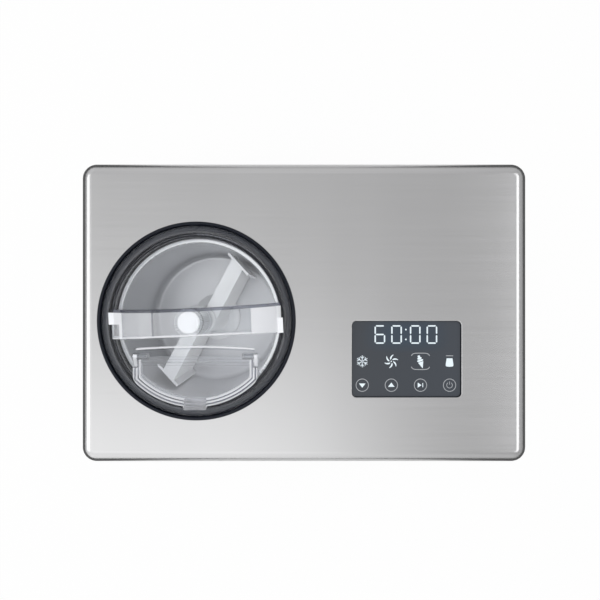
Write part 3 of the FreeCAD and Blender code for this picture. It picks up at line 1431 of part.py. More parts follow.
def fan_frame():
    """A square duct with a round bore and a motor plate on three spokes at its outer side."""
    half = FAN_SIZE / 2
    x0 = FAN_END - FAN_PLATE_T
    body = box(FAN_X, FAN_END, FAN_Y - half, FAN_Y + half, FAN_Z - half, FAN_Z + half)
    body = body.makeFillet(FAN_CORNER_R, [e for e in body.Edges if e.BoundBox.XLength > FAN_T / 2])
    bore = rod(half - FAN_RIM_T, V(FAN_X, FAN_Y, FAN_Z), ALONG_X, FAN_T)
    plate = rod(FAN_HUB_R, V(x0, FAN_Y, FAN_Z), ALONG_X, FAN_PLATE_T)
    pieces = [body.cut(bore), plate]
    spoke_top = FAN_Z + half - FAN_RIM_T / 2
    for i in range(FAN_SPOKES):
        spoke = box(x0, FAN_END, FAN_Y - FAN_PLATE_T, FAN_Y + FAN_PLATE_T, FAN_Z, spoke_top)
        spoke.rotate(V(x0, FAN_Y, FAN_Z), ALONG_X, FAN_SPOKE_TURN + 360 * i / FAN_SPOKES)
        pieces.append(spoke)
    return joined(pieces)


def fan_motor():
    x0 = FAN_END - FAN_PLATE_T - FAN_MOTOR_L
    radius = FAN_HUB_R - FAN_CUP_T - FAN_TIP_GAP
    body = rod(radius, V(x0, FAN_Y, FAN_Z), ALONG_X, FAN_MOTOR_L)
    return body.cut(rod(FAN_SHAFT_R + RUN_FIT, V(x0, FAN_Y, FAN_Z), ALONG_X, FAN_SHAFT_L))


def fan_rotor():
    """A cup over the motor with pitched blades round it and a short shaft in its middle."""
    x0 = FAN_X + FAN_TIP_GAP
    x1 = FAN_END - FAN_PLATE_T - FAN_TIP_GAP
    middle = (x0 + x1) / 2
    reach = FAN_SIZE / 2 - FAN_RIM_T - FAN_TIP_GAP
    cup = rod(FAN_HUB_R, V(x0, FAN_Y, FAN_Z), ALONG_X, x1 - x0)
    room = rod(FAN_HUB_R - FAN_CUP_T, V(x0 + FAN_CUP_T, FAN_Y, FAN_Z), ALONG_X, FAN_T)
    shaft = rod(FAN_SHAFT_R, V(x0, FAN_Y, FAN_Z), ALONG_X, FAN_SHAFT_L)
    pieces = [cup.cut(room), shaft]
    half_w = FAN_BLADE_W / 2
    half_t = FAN_BLADE_T / 2
    root = FAN_Z + FAN_HUB_R - FAN_CUP_T / 2
    for i in range(FAN_BLADES):
        blade = box(middle - half_w, middle + half_w, FAN_Y - half_t, FAN_Y + half_t, root, FAN_Z + FAN_SIZE)
        blade.rotate(V(middle, FAN_Y, FAN_Z), UP, FAN_PITCH)
        blade.rotate(V(middle, FAN_Y, FAN_Z), ALONG_X, 360 * i / FAN_BLADES)
        pieces.append(blade)
    swept = rod(reach, V(x0, FAN_Y, FAN_Z), ALONG_X, x1 - x0)
    return joined(pieces).common(swept)


def drier_place():
    """The middle of the filter drier's lower end."""
    return V(CONDENSER_X - DRIER_ASIDE, FAN_Y - RUN_HALF - DRIER_AHEAD, CONDENSER_LOW + DRIER_RISE)


def filter_drier():
    """A copper bottle with a neck and a cone at each end."""
    low = drier_place()
    high = low.z + DRIER_L
    neck = TUBE_R + DRIER_NECK_T
    cone = DRIER_NECK_L + DRIER_CONE_L
    section = [
        (0, low.z, 0), (neck, low.z, 0), (neck, low.z + DRIER_NECK_L, 0), (DRIER_R, low.z + cone, SOFT_R),
        (DRIER_R, high - cone, SOFT_R), (neck, high - DRIER_NECK_L, 0), (neck, high, 0), (0, high, 0),
    ]
    return turned(section, low.x, low.y)


def discharge_pipe():
    start = stub_ends()[1]
    end = condenser_inlet()
    y = max(start.y, end.y) + PIPE_STAND_OFF
    high = end.z + PIPE_HUMP
    points = [start, V(start.x, y, start.z), V(start.x, y, high), V(end.x, y, high), V(end.x, y, end.z), end]
    return pipe(points, PIPE_BEND, TUBE_R)


def coil_ends():
    """The end faces of the evaporator coil's leads: the inlet at the front and the outlet at the back."""
    x = BOWL_X + COIL_R
    return V(x, BOWL_Y - COIL_LEAD, COIL_LOW), V(x, BOWL_Y + COIL_LEAD, COIL_HIGH)


def capillary_tube():
    start = drier_place() + UP * DRIER_L
    end = coil_ends()[0]
    high = start.z + PIPE_HUMP
    y = min(start.y, end.y) - PIPE_STAND_OFF
    rise = [start, V(start.x, start.y, high), V(start.x, y, high)]
    fall = [V(end.x, y, high), V(end.x, y, end.z), end]
    return pipe(rise + fall, PIPE_BEND, CAPILLARY_R)


def suction_pipe():
    start = coil_ends()[1]
    end = stub_ends()[0]
    y = max(start.y, end.y) + PIPE_STAND_OFF
    points = [start, V(start.x, y, start.z), V(end.x, y, start.z), V(end.x, y, end.z), end]
    return pipe(points, PIPE_BEND, TUBE_R)


# Control panel and electrics

def control_glass():
    return panel_window(-GLASS_GAP, GLASS_UNDER, GLASS_TOP)


def control_holder():
    """A frame under the window with a shelf for the glass, a flange and posts for the control board."""
    high = TOP_Z - SHEET - FIT
    body = panel_window(HOLDER_T, HOLDER_LOW, high)
    flange = panel_window(HOLDER_T + HOLDER_FLANGE, FRAME_UNDER - HOLDER_FLANGE_T, FRAME_UNDER)
    holder = joined([body, flange]).cut(panel_window(0.0, GLASS_UNDER, high + OVER))
    holder = holder.cut(panel_window(-HOLDER_SHELF, HOLDER_LOW - OVER, high + OVER))
    posts = [disc(PCB_POST_R, HOLDER_LOW, PCB_TOP - PCB_T, x, y) for x, y in board_corners()]
    return joined([holder] + posts).cut(board_screw_holes())


def board_corners():
    """The places of the control board's four posts."""
    x = PANEL_W / 2 - PCB_POST_INSET
    y = PANEL_D / 2 - PCB_POST_INSET
    return [(PANEL_X + a * x, PANEL_Y + b * y) for a in (-1, 1) for b in (-1, 1)]


def board_screw_holes():
    length = PCB_SCREW_L + SCREW_HOLE_FIT
    return group([screw_hole(M25_SCREW, V(x, y, PCB_TOP), -UP, length) for x, y in board_corners()])


def control_board():
    """The board behind the glass, with a sprung touch contact under each key."""
    margin = HOLDER_SHELF + PCB_GAP
    board = panel_window(-margin, PCB_TOP - PCB_T, PCB_TOP).cut(board_screw_holes())
    contacts = [disc(KEY_R, PCB_TOP, GLASS_UNDER, x, y) for x, y in key_places()]
    return group([board] + contacts)


def board_screws():
    return group([pan_screw(M25_SCREW, V(x, y, PCB_TOP), -UP, PCB_SCREW_L) for x, y in board_corners()])


def display_module():
    y = PANEL_Y + PANEL_D / 2 - DISPLAY_FROM_BACK
    half_w = DISPLAY_W / 2
    half_d = DISPLAY_D / 2
    return box(PANEL_X - half_w, PANEL_X + half_w, y - half_d, y + half_d, PCB_TOP, GLASS_UNDER)


def key_places():
    """The middles of the touch keys along the front of the panel."""
    y = PANEL_Y - PANEL_D / 2 + KEY_FROM_FRONT
    return [(PANEL_X + (i - (KEY_COUNT - 1) / 2) * KEY_STEP, y) for i in range(KEY_COUNT)]


def power_board():
    """The mains board in its slotted posts, with a transformer, relays and a capacitor on its inner face."""
    x = PANEL_X - BOARD_W / 2
    y = BOARD_Y + PCB_T / 2
    z = BOARD_LOW + BOARD_POST_INSET
    board = box(x, x + BOARD_W, BOARD_Y - PCB_T / 2, y, BOARD_LOW - BOARD_SLOT, BOARD_LOW + BOARD_H)
    transformer = Part.makeBox(*TRANSFORMER, V(x + TRANSFORMER_FROM_SIDE, y, z))
    relay_x = x + RELAY_FROM_SIDE
    relays = [Part.makeBox(*RELAY, V(relay_x + RELAY_STEP * i, y, z)) for i in range(RELAY_COUNT)]
    capacitor = rod(CAPACITOR_R, V(x + CAPACITOR_FROM_SIDE, y, z + CAPACITOR_RISE), ALONG_Y, CAPACITOR_L)
    return group([board, transformer, capacitor] + relays)


def cord_gland():
    """A bushing through the back wall for the mains lead, with a nut inside and a flange outside."""
    low = WALL_BACK - GLAND_NUT_L
    length = GLAND_NUT_L + SHEET + GLAND_FLANGE_T
    nut = rod(GLAND_R, V(GLAND_X, low, GLAND_Z), ALONG_Y, GLAND_NUT_L)
    neck = rod(GLAND_BORE_R + GLAND_WALL, V(GLAND_X, low, GLAND_Z), ALONG_Y, length)
    flange = rod(GLAND_R, V(GLAND_X, WALL_BACK + SHEET, GLAND_Z), ALONG_Y, GLAND_FLANGE_T)
    bore = rod(GLAND_BORE_R, V(GLAND_X, low, GLAND_Z), ALONG_Y, length)
    return joined([nut, neck, flange]).cut(bore)


def all_nodes():
    """Every node's name and shape."""
    nodes = {
        "top_panel": top_panel(),
        "upper_frame": upper_frame(),
        "side_wrap": side_wrap(),
        "rear_cover": rear_cover(),
        "rear_cover_screws": rear_cover_screws(),
        "base_tray": base_tray(),
        "foot_screws": foot_screws(),
        "collar": collar(),
        "cooling_well": cooling_well(),
        "well_screws": well_screws(),
        "shaft_seal": shaft_seal(),
        "evaporator_coil": evaporator_coil(),
        "well_insulation": well_insulation(),
        "ice_bowl": ice_bowl(),
        "paddle": paddle(),
        "drive_shaft": drive_shaft(),
        "output_gear": output_gear(),
        "idler_gear": idler_gear(),
        "idler_pin": idler_pin(),
        "motor_rotor": motor_rotor(),
        "rotor_shaft": rotor_shaft(),
        "motor_stator": motor_stator(),
        "motor_end_plate": motor_end_plate(),
        "gearbox_case": gearbox_case(),
        "gearbox_cover": gearbox_cover(),
        "shaft_bushes": shaft_bushes(),
        "gearbox_screws": gearbox_screws(),
        "lid": lid(),
        "lid_seal": lid_seal(),
        "lid_handle": lid_handle(),
        "paddle_bearing": paddle_bearing(),
        "refill_flap": refill_flap(),
        "flap_pins": flap_pins(),
        "compressor_base": compressor_base(),
        "compressor_mounts": compressor_mounts(),
        "compressor_bolts": compressor_bolts(),
        "compressor_lower_shell": compressor_lower_shell(),
        "compressor_upper_shell": compressor_upper_shell(),
        "compressor_pump": compressor_pump(),
        "compressor_terminal_cover": compressor_terminal_cover(),
        "condenser_tube": condenser_tube(),
        "condenser_fins": condenser_fins(),
        "fan_frame": fan_frame(),
        "fan_motor": fan_motor(),
        "fan_rotor": fan_rotor(),
        "filter_drier": filter_drier(),
        "discharge_pipe": discharge_pipe(),
        "capillary_tube": capillary_tube(),
        "suction_pipe": suction_pipe(),
        "control_glass": control_glass(),
        "control_holder": control_holder(),
        "control_board": control_board(),
        "display_module": display_module(),
        "board_screws": board_screws(),
        "power_board": power_board(),
        "cord_gland": cord_gland(),
    }
    for name, (x, y) in foot_places().items():
        nodes[name] = foot(x, y)
    return nodes


def main():
    os.makedirs("parts", exist_ok=True)
    for name, shape in all_nodes().items():
        shape.exportStep(f"parts/{name}.step")
        whole = all(s.isValid() for s in shape.Solids)
        print(f"{name}: {len(shape.Solids)} solids, {shape.Volume / 1000:.2f} cm3, valid {whole}")


main()
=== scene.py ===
"""A countertop ice cream maker: finishes for its packed pieces, its panel's lit marks and a plain stage."""

import math

import bpy
import numpy as np
from bpy.props import FloatProperty, FloatVectorProperty, PointerProperty
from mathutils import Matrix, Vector


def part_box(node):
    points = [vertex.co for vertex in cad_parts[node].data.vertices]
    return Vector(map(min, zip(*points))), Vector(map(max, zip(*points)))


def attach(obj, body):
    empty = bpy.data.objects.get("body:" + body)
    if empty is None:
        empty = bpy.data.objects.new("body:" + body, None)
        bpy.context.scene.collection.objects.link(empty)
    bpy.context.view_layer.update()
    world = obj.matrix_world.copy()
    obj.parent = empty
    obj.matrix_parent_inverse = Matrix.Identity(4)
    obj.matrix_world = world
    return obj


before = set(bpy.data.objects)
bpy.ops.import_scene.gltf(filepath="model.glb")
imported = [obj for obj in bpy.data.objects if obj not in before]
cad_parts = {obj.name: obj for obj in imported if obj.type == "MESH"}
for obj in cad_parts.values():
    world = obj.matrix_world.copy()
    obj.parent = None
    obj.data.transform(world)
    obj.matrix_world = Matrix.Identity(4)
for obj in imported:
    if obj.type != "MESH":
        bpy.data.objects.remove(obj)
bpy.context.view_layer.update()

bl_info = {
    "name": "Ice cream maker looks",
    "version": (1, 0, 0),
    "blender": (4, 5, 0),
    "location": "View3D > Sidebar > Ice cream maker",
    "description": "Finishes, panel marks and stage of a countertop ice cream maker",
    "category": "Object",
}

MM = 0.001
GLASS_LOW, GLASS_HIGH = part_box("control_glass")
GLASS_MIDDLE = (GLASS_LOW + GLASS_HIGH) / 2
BOWL_LOW, BOWL_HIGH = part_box("ice_bowl")
BOWL_AXIS = (BOWL_LOW + BOWL_HIGH) / 2
BOARD_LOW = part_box("power_board")[0]
KEYS_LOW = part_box("control_board")[0]
TOP_LOW, TOP_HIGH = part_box("top_panel")
TOP_MIDDLE = (TOP_LOW + TOP_HIGH) / 2
TOP_HALF = (TOP_HIGH - TOP_LOW) / 2

# Places on the lid, in millimetres: to the right and to the back of the bowl's axis, and over the floor.
# They bound the lid's painted shade and painted highlights.
OVER_LID = (221.5, 240.0)
SKIRT_RING = (79.5, 82.8)
BEAD_RING = (83.6, 84.8)
RIB_PLACE = -24.4
RIB_SAG = 2.4
RIB_ENDS = (-56.5, 55.0)
RIB_LINE = (-0.9, 0.9)
RIB_SHADE = (-2.4, -1.1)
EAR_ASIDE = (54.9, 58.2)
EAR_ALONG = (-42.6, -31.0)
EAR_HEIGHT = (223.0, 240.0)

# Places on the flap, in millimetres: from the bowl's axis, and for its rails inwards from the outline.
# The rails take painted highlights and the gaps between them painted shade; the tab takes painted shade.
FLAP_RADIUS = 80.5
FLAP_HALF = 58.5
FLAP_FRONT = (-100.0, -36.0)
PAINTED_HIGHLIGHT_RAILS = ((-1.0, 1.5), (2.9, 4.6), (5.8, 7.6))
PAINTED_SHADE_GAPS = ((1.5, 2.7), (4.8, 5.6))
TAB_ASIDE = (-10.3, 10.6)
TAB_ALONG = (-90.0, -71.5)

# The handle: its turn in degrees, and places in millimetres along it and inwards from its lips.
# They bound its painted shade and painted highlights.
HANDLE_TURN = 2.4
HANDLE_HALF = 12.5
HANDLE_FLARE = 1.75
HANDLE_REACH = 80.3
BACK_LIP = (-1.0, 3.0)
FRONT_LIP = (-1.0, 1.7)
BETWEEN_LIPS = (3.0, 30.0)
FOLD_LINE = (-33.7, -31.9)
LEFT_BLOCK = (-90.0, -69.5)
LEFT_STRIP = (-69.5, -66.0)
LEFT_SLOPE = (-66.0, -33.7)
LEFT_MIDDLE = (-33.7, 8.0)
RIGHT_SLOPE = (54.0, 76.3)
RIGHT_STRIP = (76.3, 90.0)
BACK_HALF = (0.0, 40.0)

# In metres: the painted glow round the digits, the boards' tracks and reach, and the height that holds both
# boards
GLOW_HALF_X = 0.042
GLOW_HALF_Y = 0.018
TRACK_PITCH = 0.004
BOARD_REACH = 0.004
INNER_HEIGHT = 0.3

# How much higher each bar of a mark is than the one before, as a share of its thickness
BAR_STEP = 0.02

# The stage, in metres and watts: each lamp has its name, place, sides and power
LAMP_AIM = (0.0, 0.0, 0.15)
OVERHEAD_LAMP = ("overhead_lamp", (-0.1, 0.05, 2.2), (1.4, 1.4), 22.0)
LEFT_LAMP = ("left_lamp", (-0.95, 0.0, 0.72), (1.2, 0.4), 2.3)
RIGHT_LAMP = ("right_lamp", (0.8, 0.0, 1.0), (1.2, 0.36), 2.4)
PADDLE_LAMP = ("paddle_lamp", (1.18, -0.68, 0.54), (0.5, 0.5), 7.5)
FLOOR_HALF = 4.0
FLOOR_DROP = 0.0003


# Sizes and colours that a user may change

def colour(name, description, default):
    """A colour property in linear light."""
    return FloatVectorProperty(
        name=name, description=description, default=default, subtype="COLOR", size=3, min=0.0, max=1.0)


def length(name, description, millimetres):
    """A length property, given in millimetres and kept in metres."""
    return FloatProperty(
        name=name, description=description, default=millimetres * MM, unit="LENGTH", min=0.0, precision=5)


def share(name, description, default):
    """A property from 0 to 1."""
    return FloatProperty(
        name=name, description=description, default=default, subtype="FACTOR", min=0.0, max=1.0)


class SteelSettings(bpy.types.PropertyGroup):
    """Brushed steel of the casing."""

    tone: colour("Tone", "Colour of the bare steel", (0.56, 0.56, 0.565))
    polish: share("Roughness", "Mean roughness of the brushed face", 0.24)
    grain_length: length("Grain length", "How long a brush line runs", 70.0)
    grain_pitch: length("Grain pitch", "How far apart the brush lines lie", 0.7)
    grain_depth: length("Grain depth", "How deep the brush lines are", 0.012)
    corner: length("Corner", "Plan radius of the top's corners", 14.0)
    edge: length("Edge", "Radius of the top's rolled edge", 8.5)
    shoulder: length("Shoulder", "How far in from the rolled edge the top begins to fall", 3.0)
    shoulder_slope: share("Shoulder slope", "How steep the fall is where it meets the rolled edge", 0.25)


class LidSettings(bpy.types.PropertyGroup):
    """Clear plastic of the lid, its handle, its flap and the flap's pins."""

    tint: colour("Tint", "Colour of light that has passed a wall", (0.97, 0.98, 0.99))
    # Painted shade: the dark colour that lines and bands on the clear parts are tinted towards
    painted_edge_shade: colour("Smoke", "Colour of light that has passed a wall on its edge", (0.28, 0.29, 0.36))
    # Painted highlight: the pale colour laid over lines and ends of the clear parts
    painted_highlight: colour("Frost", "Colour of a wall that catches light on its edge", (0.84, 0.85, 0.88))
    haze: share("Haze", "Roughness of the moulded faces", 0.03)
    bend: FloatProperty(
        name="Refraction", description="Index of the clear plastic", default=1.36, min=1.0, max=2.0)


class PlasticSettings(bpy.types.PropertyGroup):
    """Moulded plastics and rubbers."""

    black: colour("Black", "Collar and other black mouldings", (0.006, 0.0078, 0.013))
    grey: colour("Grey", "Frame, tray and holder", (0.09, 0.092, 0.096))
    white: colour("White", "The paddle's bearing", (0.86, 0.865, 0.88))
    paddle: colour("Paddle", "The paddle", (0.76, 0.765, 0.775))
    rubber: colour("Rubber", "Feet and mounts", (0.022, 0.022, 0.023))
    seal: colour("Seal", "The lid's ring", (0.012, 0.015, 0.024))


class BowlSettings(bpy.types.PropertyGroup):
    """Satin metal of the bowl and of the well that it stands in."""

    tone: colour("Tone", "Colour of the satin metal", (0.76, 0.765, 0.785))
    polish: share("Roughness", "Mean roughness of the satin face", 0.34)
    # Painted highlight: the rim's lighter colour, reaching down by the rim length
    bright: colour("Bright", "Colour of the rubbed rim", (0.92, 0.925, 0.935))
    rim: length("Rim", "How far down from its top the rim is rubbed bright", 1.8)
    ring_pitch: length("Ring pitch", "How far apart the turned rings lie", 0.9)
    ring_depth: length("Ring depth", "How deep the turned rings are", 0.006)


class PanelSettings(bpy.types.PropertyGroup):
    """The dark glass and what is lit on it."""

    glass: colour("Glass", "Colour of the dark glass", (0.038, 0.0445, 0.055))
    lit: colour("Lit", "Colour of a lit mark", (0.84, 0.94, 1.0))
    print: colour("Print", "Colour of a printed ring", (0.5, 0.52, 0.55))
    mark_height: length("Mark height", "How far a mark stands on the glass", 0.06)
    digit_width: length("Digit width", "Outer width of a digit", 10.2)
    digit_height: length("Digit height", "Outer height of a digit", 17.7)
    digit_stroke: length("Digit stroke", "Width of a digit's segments", 1.35)
    digit_near: length("Near digits", "From the colon to the middle of the near digits", 8.9)
    digit_far: length("Far digits", "From the colon to the middle of the far digits", 24.8)
    digit_rise: length("Digit row", "From the middle of the glass up to the digits", 23.3)
    icon_drop: length("Icon row", "From the middle of the glass down to the icons", 2.3)
    key_drop: length("Key row", "From the middle of the glass down to the keys", 25.0)
    column_step: length("Column step", "From one icon to the next", 27.75)
    left_shift: length("Left shift", "How far the marks stand left of the glass's middle", 0.3)
    key_radius: length("Key radius", "Radius of a key's ring", 5.9)


class StageSettings(bpy.types.PropertyGroup):
    """Floor, lamps and camera."""

    floor: colour("Floor", "Colour of the floor", (0.9, 0.9, 0.9))
    seen_white: share("White", "How much of the floor's look is plain white", 0.93)
    ambient: share("Ambient", "Light from all round", 0.45)
    room: share("Room", "Light from the room that metal meets", 0.68)
    inside: share("Inside", "Light from the room's upper sides that glass lets through", 0.3)
    zenith: FloatProperty(
        name="Zenith", description="Light from straight above that glass lets through", default=1.25, min=0.0)
    lens: FloatProperty(
        name="Lens", description="Focal length on a 36 mm sensor", default=33.28, subtype="DISTANCE_CAMERA")
    camera_x: FloatProperty(name="Camera X", description="Camera place", default=-3.85 * MM, unit="LENGTH")
    camera_y: FloatProperty(name="Camera Y", description="Camera place", default=12.28 * MM, unit="LENGTH")
    camera_z: FloatProperty(name="Camera Z", description="Camera place", default=748 * MM, unit="LENGTH")


# Shader expressions

class Wire:
    """An output socket. Arithmetic on it adds Math nodes to its tree."""

    def __init__(self, tree, socket):
        self.tree = tree
        self.socket = socket

    def maths(self, operation, *values):
        """A Math node on numbers and wires."""
        return self.tree.node("ShaderNodeMath", {"operation": operation}, dict(enumerate(values)))

    def __add__(self, other):
        return self.maths("ADD", self, other)

    def __radd__(self, other):
        return self.maths("ADD", other, self)

    def __sub__(self, other):
        return self.maths("SUBTRACT", self, other)

    def __rsub__(self, other):
        return self.maths("SUBTRACT", other, self)

    def __mul__(self, other):
        return self.maths("MULTIPLY", self, other)

    def __rmul__(self, other):
        return self.maths("MULTIPLY", other, self)

    def __truediv__(self, other):
        return self.maths("DIVIDE", self, other)

    def __rtruediv__(self, other):
        return self.maths("DIVIDE", other, self)

    def __pow__(self, other):
        return self.maths("POWER", self, other)

    def __rpow__(self, other):
        return self.maths("POWER", other, self)

    def __abs__(self):
        return self.maths("ABSOLUTE", self)


class Tree:
    """A node tree that is filled by expressions."""

    def __init__(self, node_tree):
        self.node_tree = node_tree
        node_tree.nodes.clear()

    def node(self, kind, settings=None, sockets=None, output=0):
        """Adds a node: its settings first, then a value or a link for each socket, and gives one output."""
        made = self.node_tree.nodes.new(kind)
        for name, value in (settings or {}).items():
            if name == "stops":
                self.set_stops(made.color_ramp, value)
            else:
                setattr(made, name, value)
        for key, value in (sockets or {}).items():
            if isinstance(value, Wire):
                self.node_tree.links.new(value.socket, made.inputs[key])
            else:
                made.inputs[key].default_value = value
        return Wire(self, made.outputs[output]) if made.outputs else None

    def set_stops(self, ramp, stops):
        """Puts a ramp's stops, each a place and a grey level, in order."""
        while len(ramp.elements) < len(stops):
            ramp.elements.new(1.0)
        for element, (place, level) in zip(ramp.elements, stops):
            element.position = place
            element.color = (level, level, level, 1.0)

    def place(self):
        """The point on the piece, in metres in the row frame."""
        return self.node("ShaderNodeTexCoord", output="Object")

    def parts_of(self, vector):
        """The three numbers of a vector."""
        split = self.node("ShaderNodeSeparateXYZ", sockets={0: vector}).socket.node
        return [Wire(self, socket) for socket in split.outputs]

    def vector(self, x, y, z):
        """A vector from three numbers."""
        return self.node("ShaderNodeCombineXYZ", sockets={0: x, 1: y, 2: z})

    def spread(self, vector, pitch):
        """The vector counted in steps of pitch, three lengths in metres."""
        steps = tuple(1 / p for p in pitch)
        return self.node("ShaderNodeVectorMath", {"operation": "MULTIPLY"}, {0: vector, 1: steps})

    def noise(self, vector, detail=2.0):
        """Smooth noise about 0.5, one hump to a step of the vector."""
        return self.node("ShaderNodeTexNoise", sockets={"Vector": vector, "Scale": 1.0, "Detail": detail})

    def cells(self, vector):
        """Distance to the nearest of scattered points, one to a step of the vector."""
        return self.node("ShaderNodeTexVoronoi", sockets={"Vector": vector, "Scale": 1.0})

    def ramp(self, value, stops):
        """A grey level that a value looks up between stops, each a place and a level."""
        return self.node("ShaderNodeValToRGB", {"stops": stops}, {0: value})

    def mixed(self, share_of_second, first, second):
        """A colour between two."""
        sockets = {0: share_of_second, 6: self.rgba(first), 7: self.rgba(second)}
        return self.node("ShaderNodeMix", {"data_type": "RGBA"}, sockets, output=2)

    def rgba(self, value):
        """A colour as a socket takes it. A wire stays as it is."""
        return value if isinstance(value, Wire) else (*value, 1.0)

    def bump(self, height, depth, normal=None):
        """A normal from a height between 0 and 1 and the depth in metres that it stands for."""
        sockets = {"Height": height, "Distance": depth}
        if normal is not None:
            sockets["Normal"] = normal
        return self.node("ShaderNodeBump", sockets=sockets)

    def surface(self, shader):
        """Makes a shader the material's surface."""
        self.node("ShaderNodeOutputMaterial", sockets={"Surface": shader})


class Finish(Tree):
    """A new material and its tree."""

    def __init__(self, name):
        self.material = bpy.data.materials.new(name)
        self.material.use_nodes = True
        super().__init__(self.material.node_tree)

    def principled(self, base, roughness, metallic=0.0, normal=None, **constants):
        """The material's main shader. Constants are named as the sockets are, with _ for a space."""
        sockets = {"Base Color": self.rgba(base), "Roughness": roughness, "Metallic": metallic}
        if normal is not None:
            sockets["Normal"] = normal
        sockets.update({name.replace("_", " "): value for name, value in constants.items()})
        return self.node("ShaderNodeBsdfPrincipled", sockets=sockets)


# Finishes

def scaled(tone, factor):
    """A colour made darker or lighter by a factor, up to white."""
    return tuple(min(1.0, c * factor) for c in tone)


def tones(tree, pattern, base, depth):
    """The base colour, lighter and darker by depth with a pattern."""
    return tree.mixed(pattern, scaled(base, 1 - depth), scaled(base, 1 + depth))


def shoulder(tree, look):
    """The drawn top's soft shoulder, as a normal.

    The distance from the rounded rectangle's rim gives how far a point is on the shoulder, and the angle
    about the rolled edge's axis how far it is round the edge. The fall steepens evenly over the shoulder and
    fades round the edge.
    """
    x, y, z = tree.parts_of(tree.place())
    past_x = abs(x - TOP_MIDDLE.x) - (TOP_HALF.x - look.corner)
    past_y = abs(y - TOP_MIDDLE.y) - (TOP_HALF.y - look.corner)
    round_x = x.maths("MAXIMUM", past_x, 0.0)
    round_y = y.maths("MAXIMUM", past_y, 0.0)
    inner = x.maths("MINIMUM", x.maths("MAXIMUM", past_x, past_y), 0.0)
    rim = look.corner - (round_x * round_x + round_y * round_y) ** 0.5 - inner
    on = x.maths("MINIMUM", x.maths("MAXIMUM", look.edge + look.shoulder - rim, 0.0), look.shoulder)
    over = x.maths("MAXIMUM", look.edge - rim, 0.0)
    path = look.edge * x.maths("ARCTAN2", over, x.maths("MAXIMUM", z - (TOP_HIGH.z - look.edge), 0.0))
    quarter = look.edge * math.pi / 2
    fall = on * on * (0.5 / look.shoulder) + path - path * path * (0.5 / quarter)
    return tree.bump(fall * -look.shoulder_slope, 1.0)


def brushed_steel(name, look, across, under=None):
    """Steel with brush lines: noise stretched along the lines sets its tone, roughness and bump.

    across holds, for X, Y and Z, whether the pattern changes quickly that way. under gives a normal that lies
    below the brush lines.
    """
    tree = Finish(name)
    place = tree.place()
    fine = [look.grain_pitch if quick else look.grain_length for quick in across]
    coarse = [4 * pitch for pitch in fine]
    slow = (0.05, 0.3, 0.05)
    lines = tree.noise(tree.spread(place, fine), 3.0)
    bands = tree.noise(tree.spread(place, coarse), 1.0)
    clouds = tree.noise(tree.spread(place, slow), 1.0)
    dark, light = scaled(look.tone, 0.93), scaled(look.tone, 1.06)
    base = tree.mixed(lines * 0.35 + bands * 0.25 + clouds * 0.4, dark, light)
    roughness = look.polish - 0.06 + lines * 0.08 + bands * 0.04
    normal = tree.bump(lines, look.grain_depth, under(tree, look) if under else None)
    tree.surface(tree.principled(base, roughness, 1.0, normal))
    return tree.material


def turned_metal(name, look):
    """Satin metal turned about the bowl's axis: noise on the distance from the axis and on the height.

    From a little below the bowl's top upwards it is smoother, and lighter in colour as a painted highlight.
    """
    tree = Finish(name)
    place = tree.place()
    x, y, z = tree.parts_of(place)
    x = x - BOWL_AXIS.x
    y = y - BOWL_AXIS.y
    radius = (x * x + y * y) ** 0.5
    rings = tree.noise(tree.vector(radius / look.ring_pitch, z / look.ring_pitch, 0.0), 2.0)
    blotches = tree.noise(tree.spread(place, (0.025,) * 3), 2.0)
    satin = tones(tree, rings * 0.4 + blotches * 0.6, look.tone, 0.05)
    # Painted highlight along the rim: lighter colour, with lower roughness
    rim = tree.ramp((z - BOWL_HIGH.z + look.rim) / look.rim, [(0.0, 0.0), (0.3, 1.0)])
    base = tree.mixed(rim, satin, tuple(look.bright))
    roughness = look.polish - 0.05 + blotches * 0.1 - rim * 0.08
    tree.surface(tree.principled(base, roughness, 0.7, tree.bump(rings, look.ring_depth)))
    return tree.material


def moulded(name, base, roughness=0.4, texture=0.0004, depth=0.000012, **constants):
    """Moulded plastic: a fine spark texture in its bump and slow clouds in its tone and roughness."""
    tree = Finish(name)
    place = tree.place()
    spark = tree.noise(tree.spread(place, (texture,) * 3), 2.0)
    clouds = tree.noise(tree.spread(place, (0.03,) * 3), 2.0)
    colours = tones(tree, tree.noise(tree.spread(place, (0.02,) * 3)), base, 0.06)
    uneven = roughness - 0.05 + clouds * 0.06 + spark * 0.04
    tree.surface(tree.principled(colours, uneven, 0.0, tree.bump(spark, depth), **constants))
    return tree.material


def clear_plastic(name, look, masks):
    """Clear plastic that bends light, with faint haze. Lamps shine straight through it.

    masks gives two shares over the piece from a tree: where painted shade darkens it and where a painted
    highlight lightens it.
    """
    tree = Finish(name)
    waves = tree.noise(tree.spread(tree.place(), (0.012,) * 3), 1.0)
    normal = tree.bump(waves, 0.00001)
    haze = look.haze - 0.02 + waves * 0.04
    painted_shade, pale = masks(tree)
    # Painted shade: the clear tint is darkened where the masks say
    tint = tree.mixed(painted_shade, tuple(look.tint), tuple(look.painted_edge_shade))
    glass = tree.principled(tint, haze, 0.0, normal, Transmission_Weight=1.0, IOR=look.bend)
    # Painted highlight: a pale matte shader is mixed in where the masks say
    painted_highlight = tree.principled(tuple(look.painted_highlight), 0.35 + waves * 0.1)
    body = tree.node("ShaderNodeMixShader", sockets={0: pale, 1: glass, 2: painted_highlight})
    through = tree.node("ShaderNodeBsdfTransparent", sockets={0: (*look.tint, 1.0)})
    shadow = tree.node("ShaderNodeLightPath", output="Is Shadow Ray")
    tree.surface(tree.node("ShaderNodeMixShader", sockets={0: shadow, 1: body, 2: through}))
    return tree.material


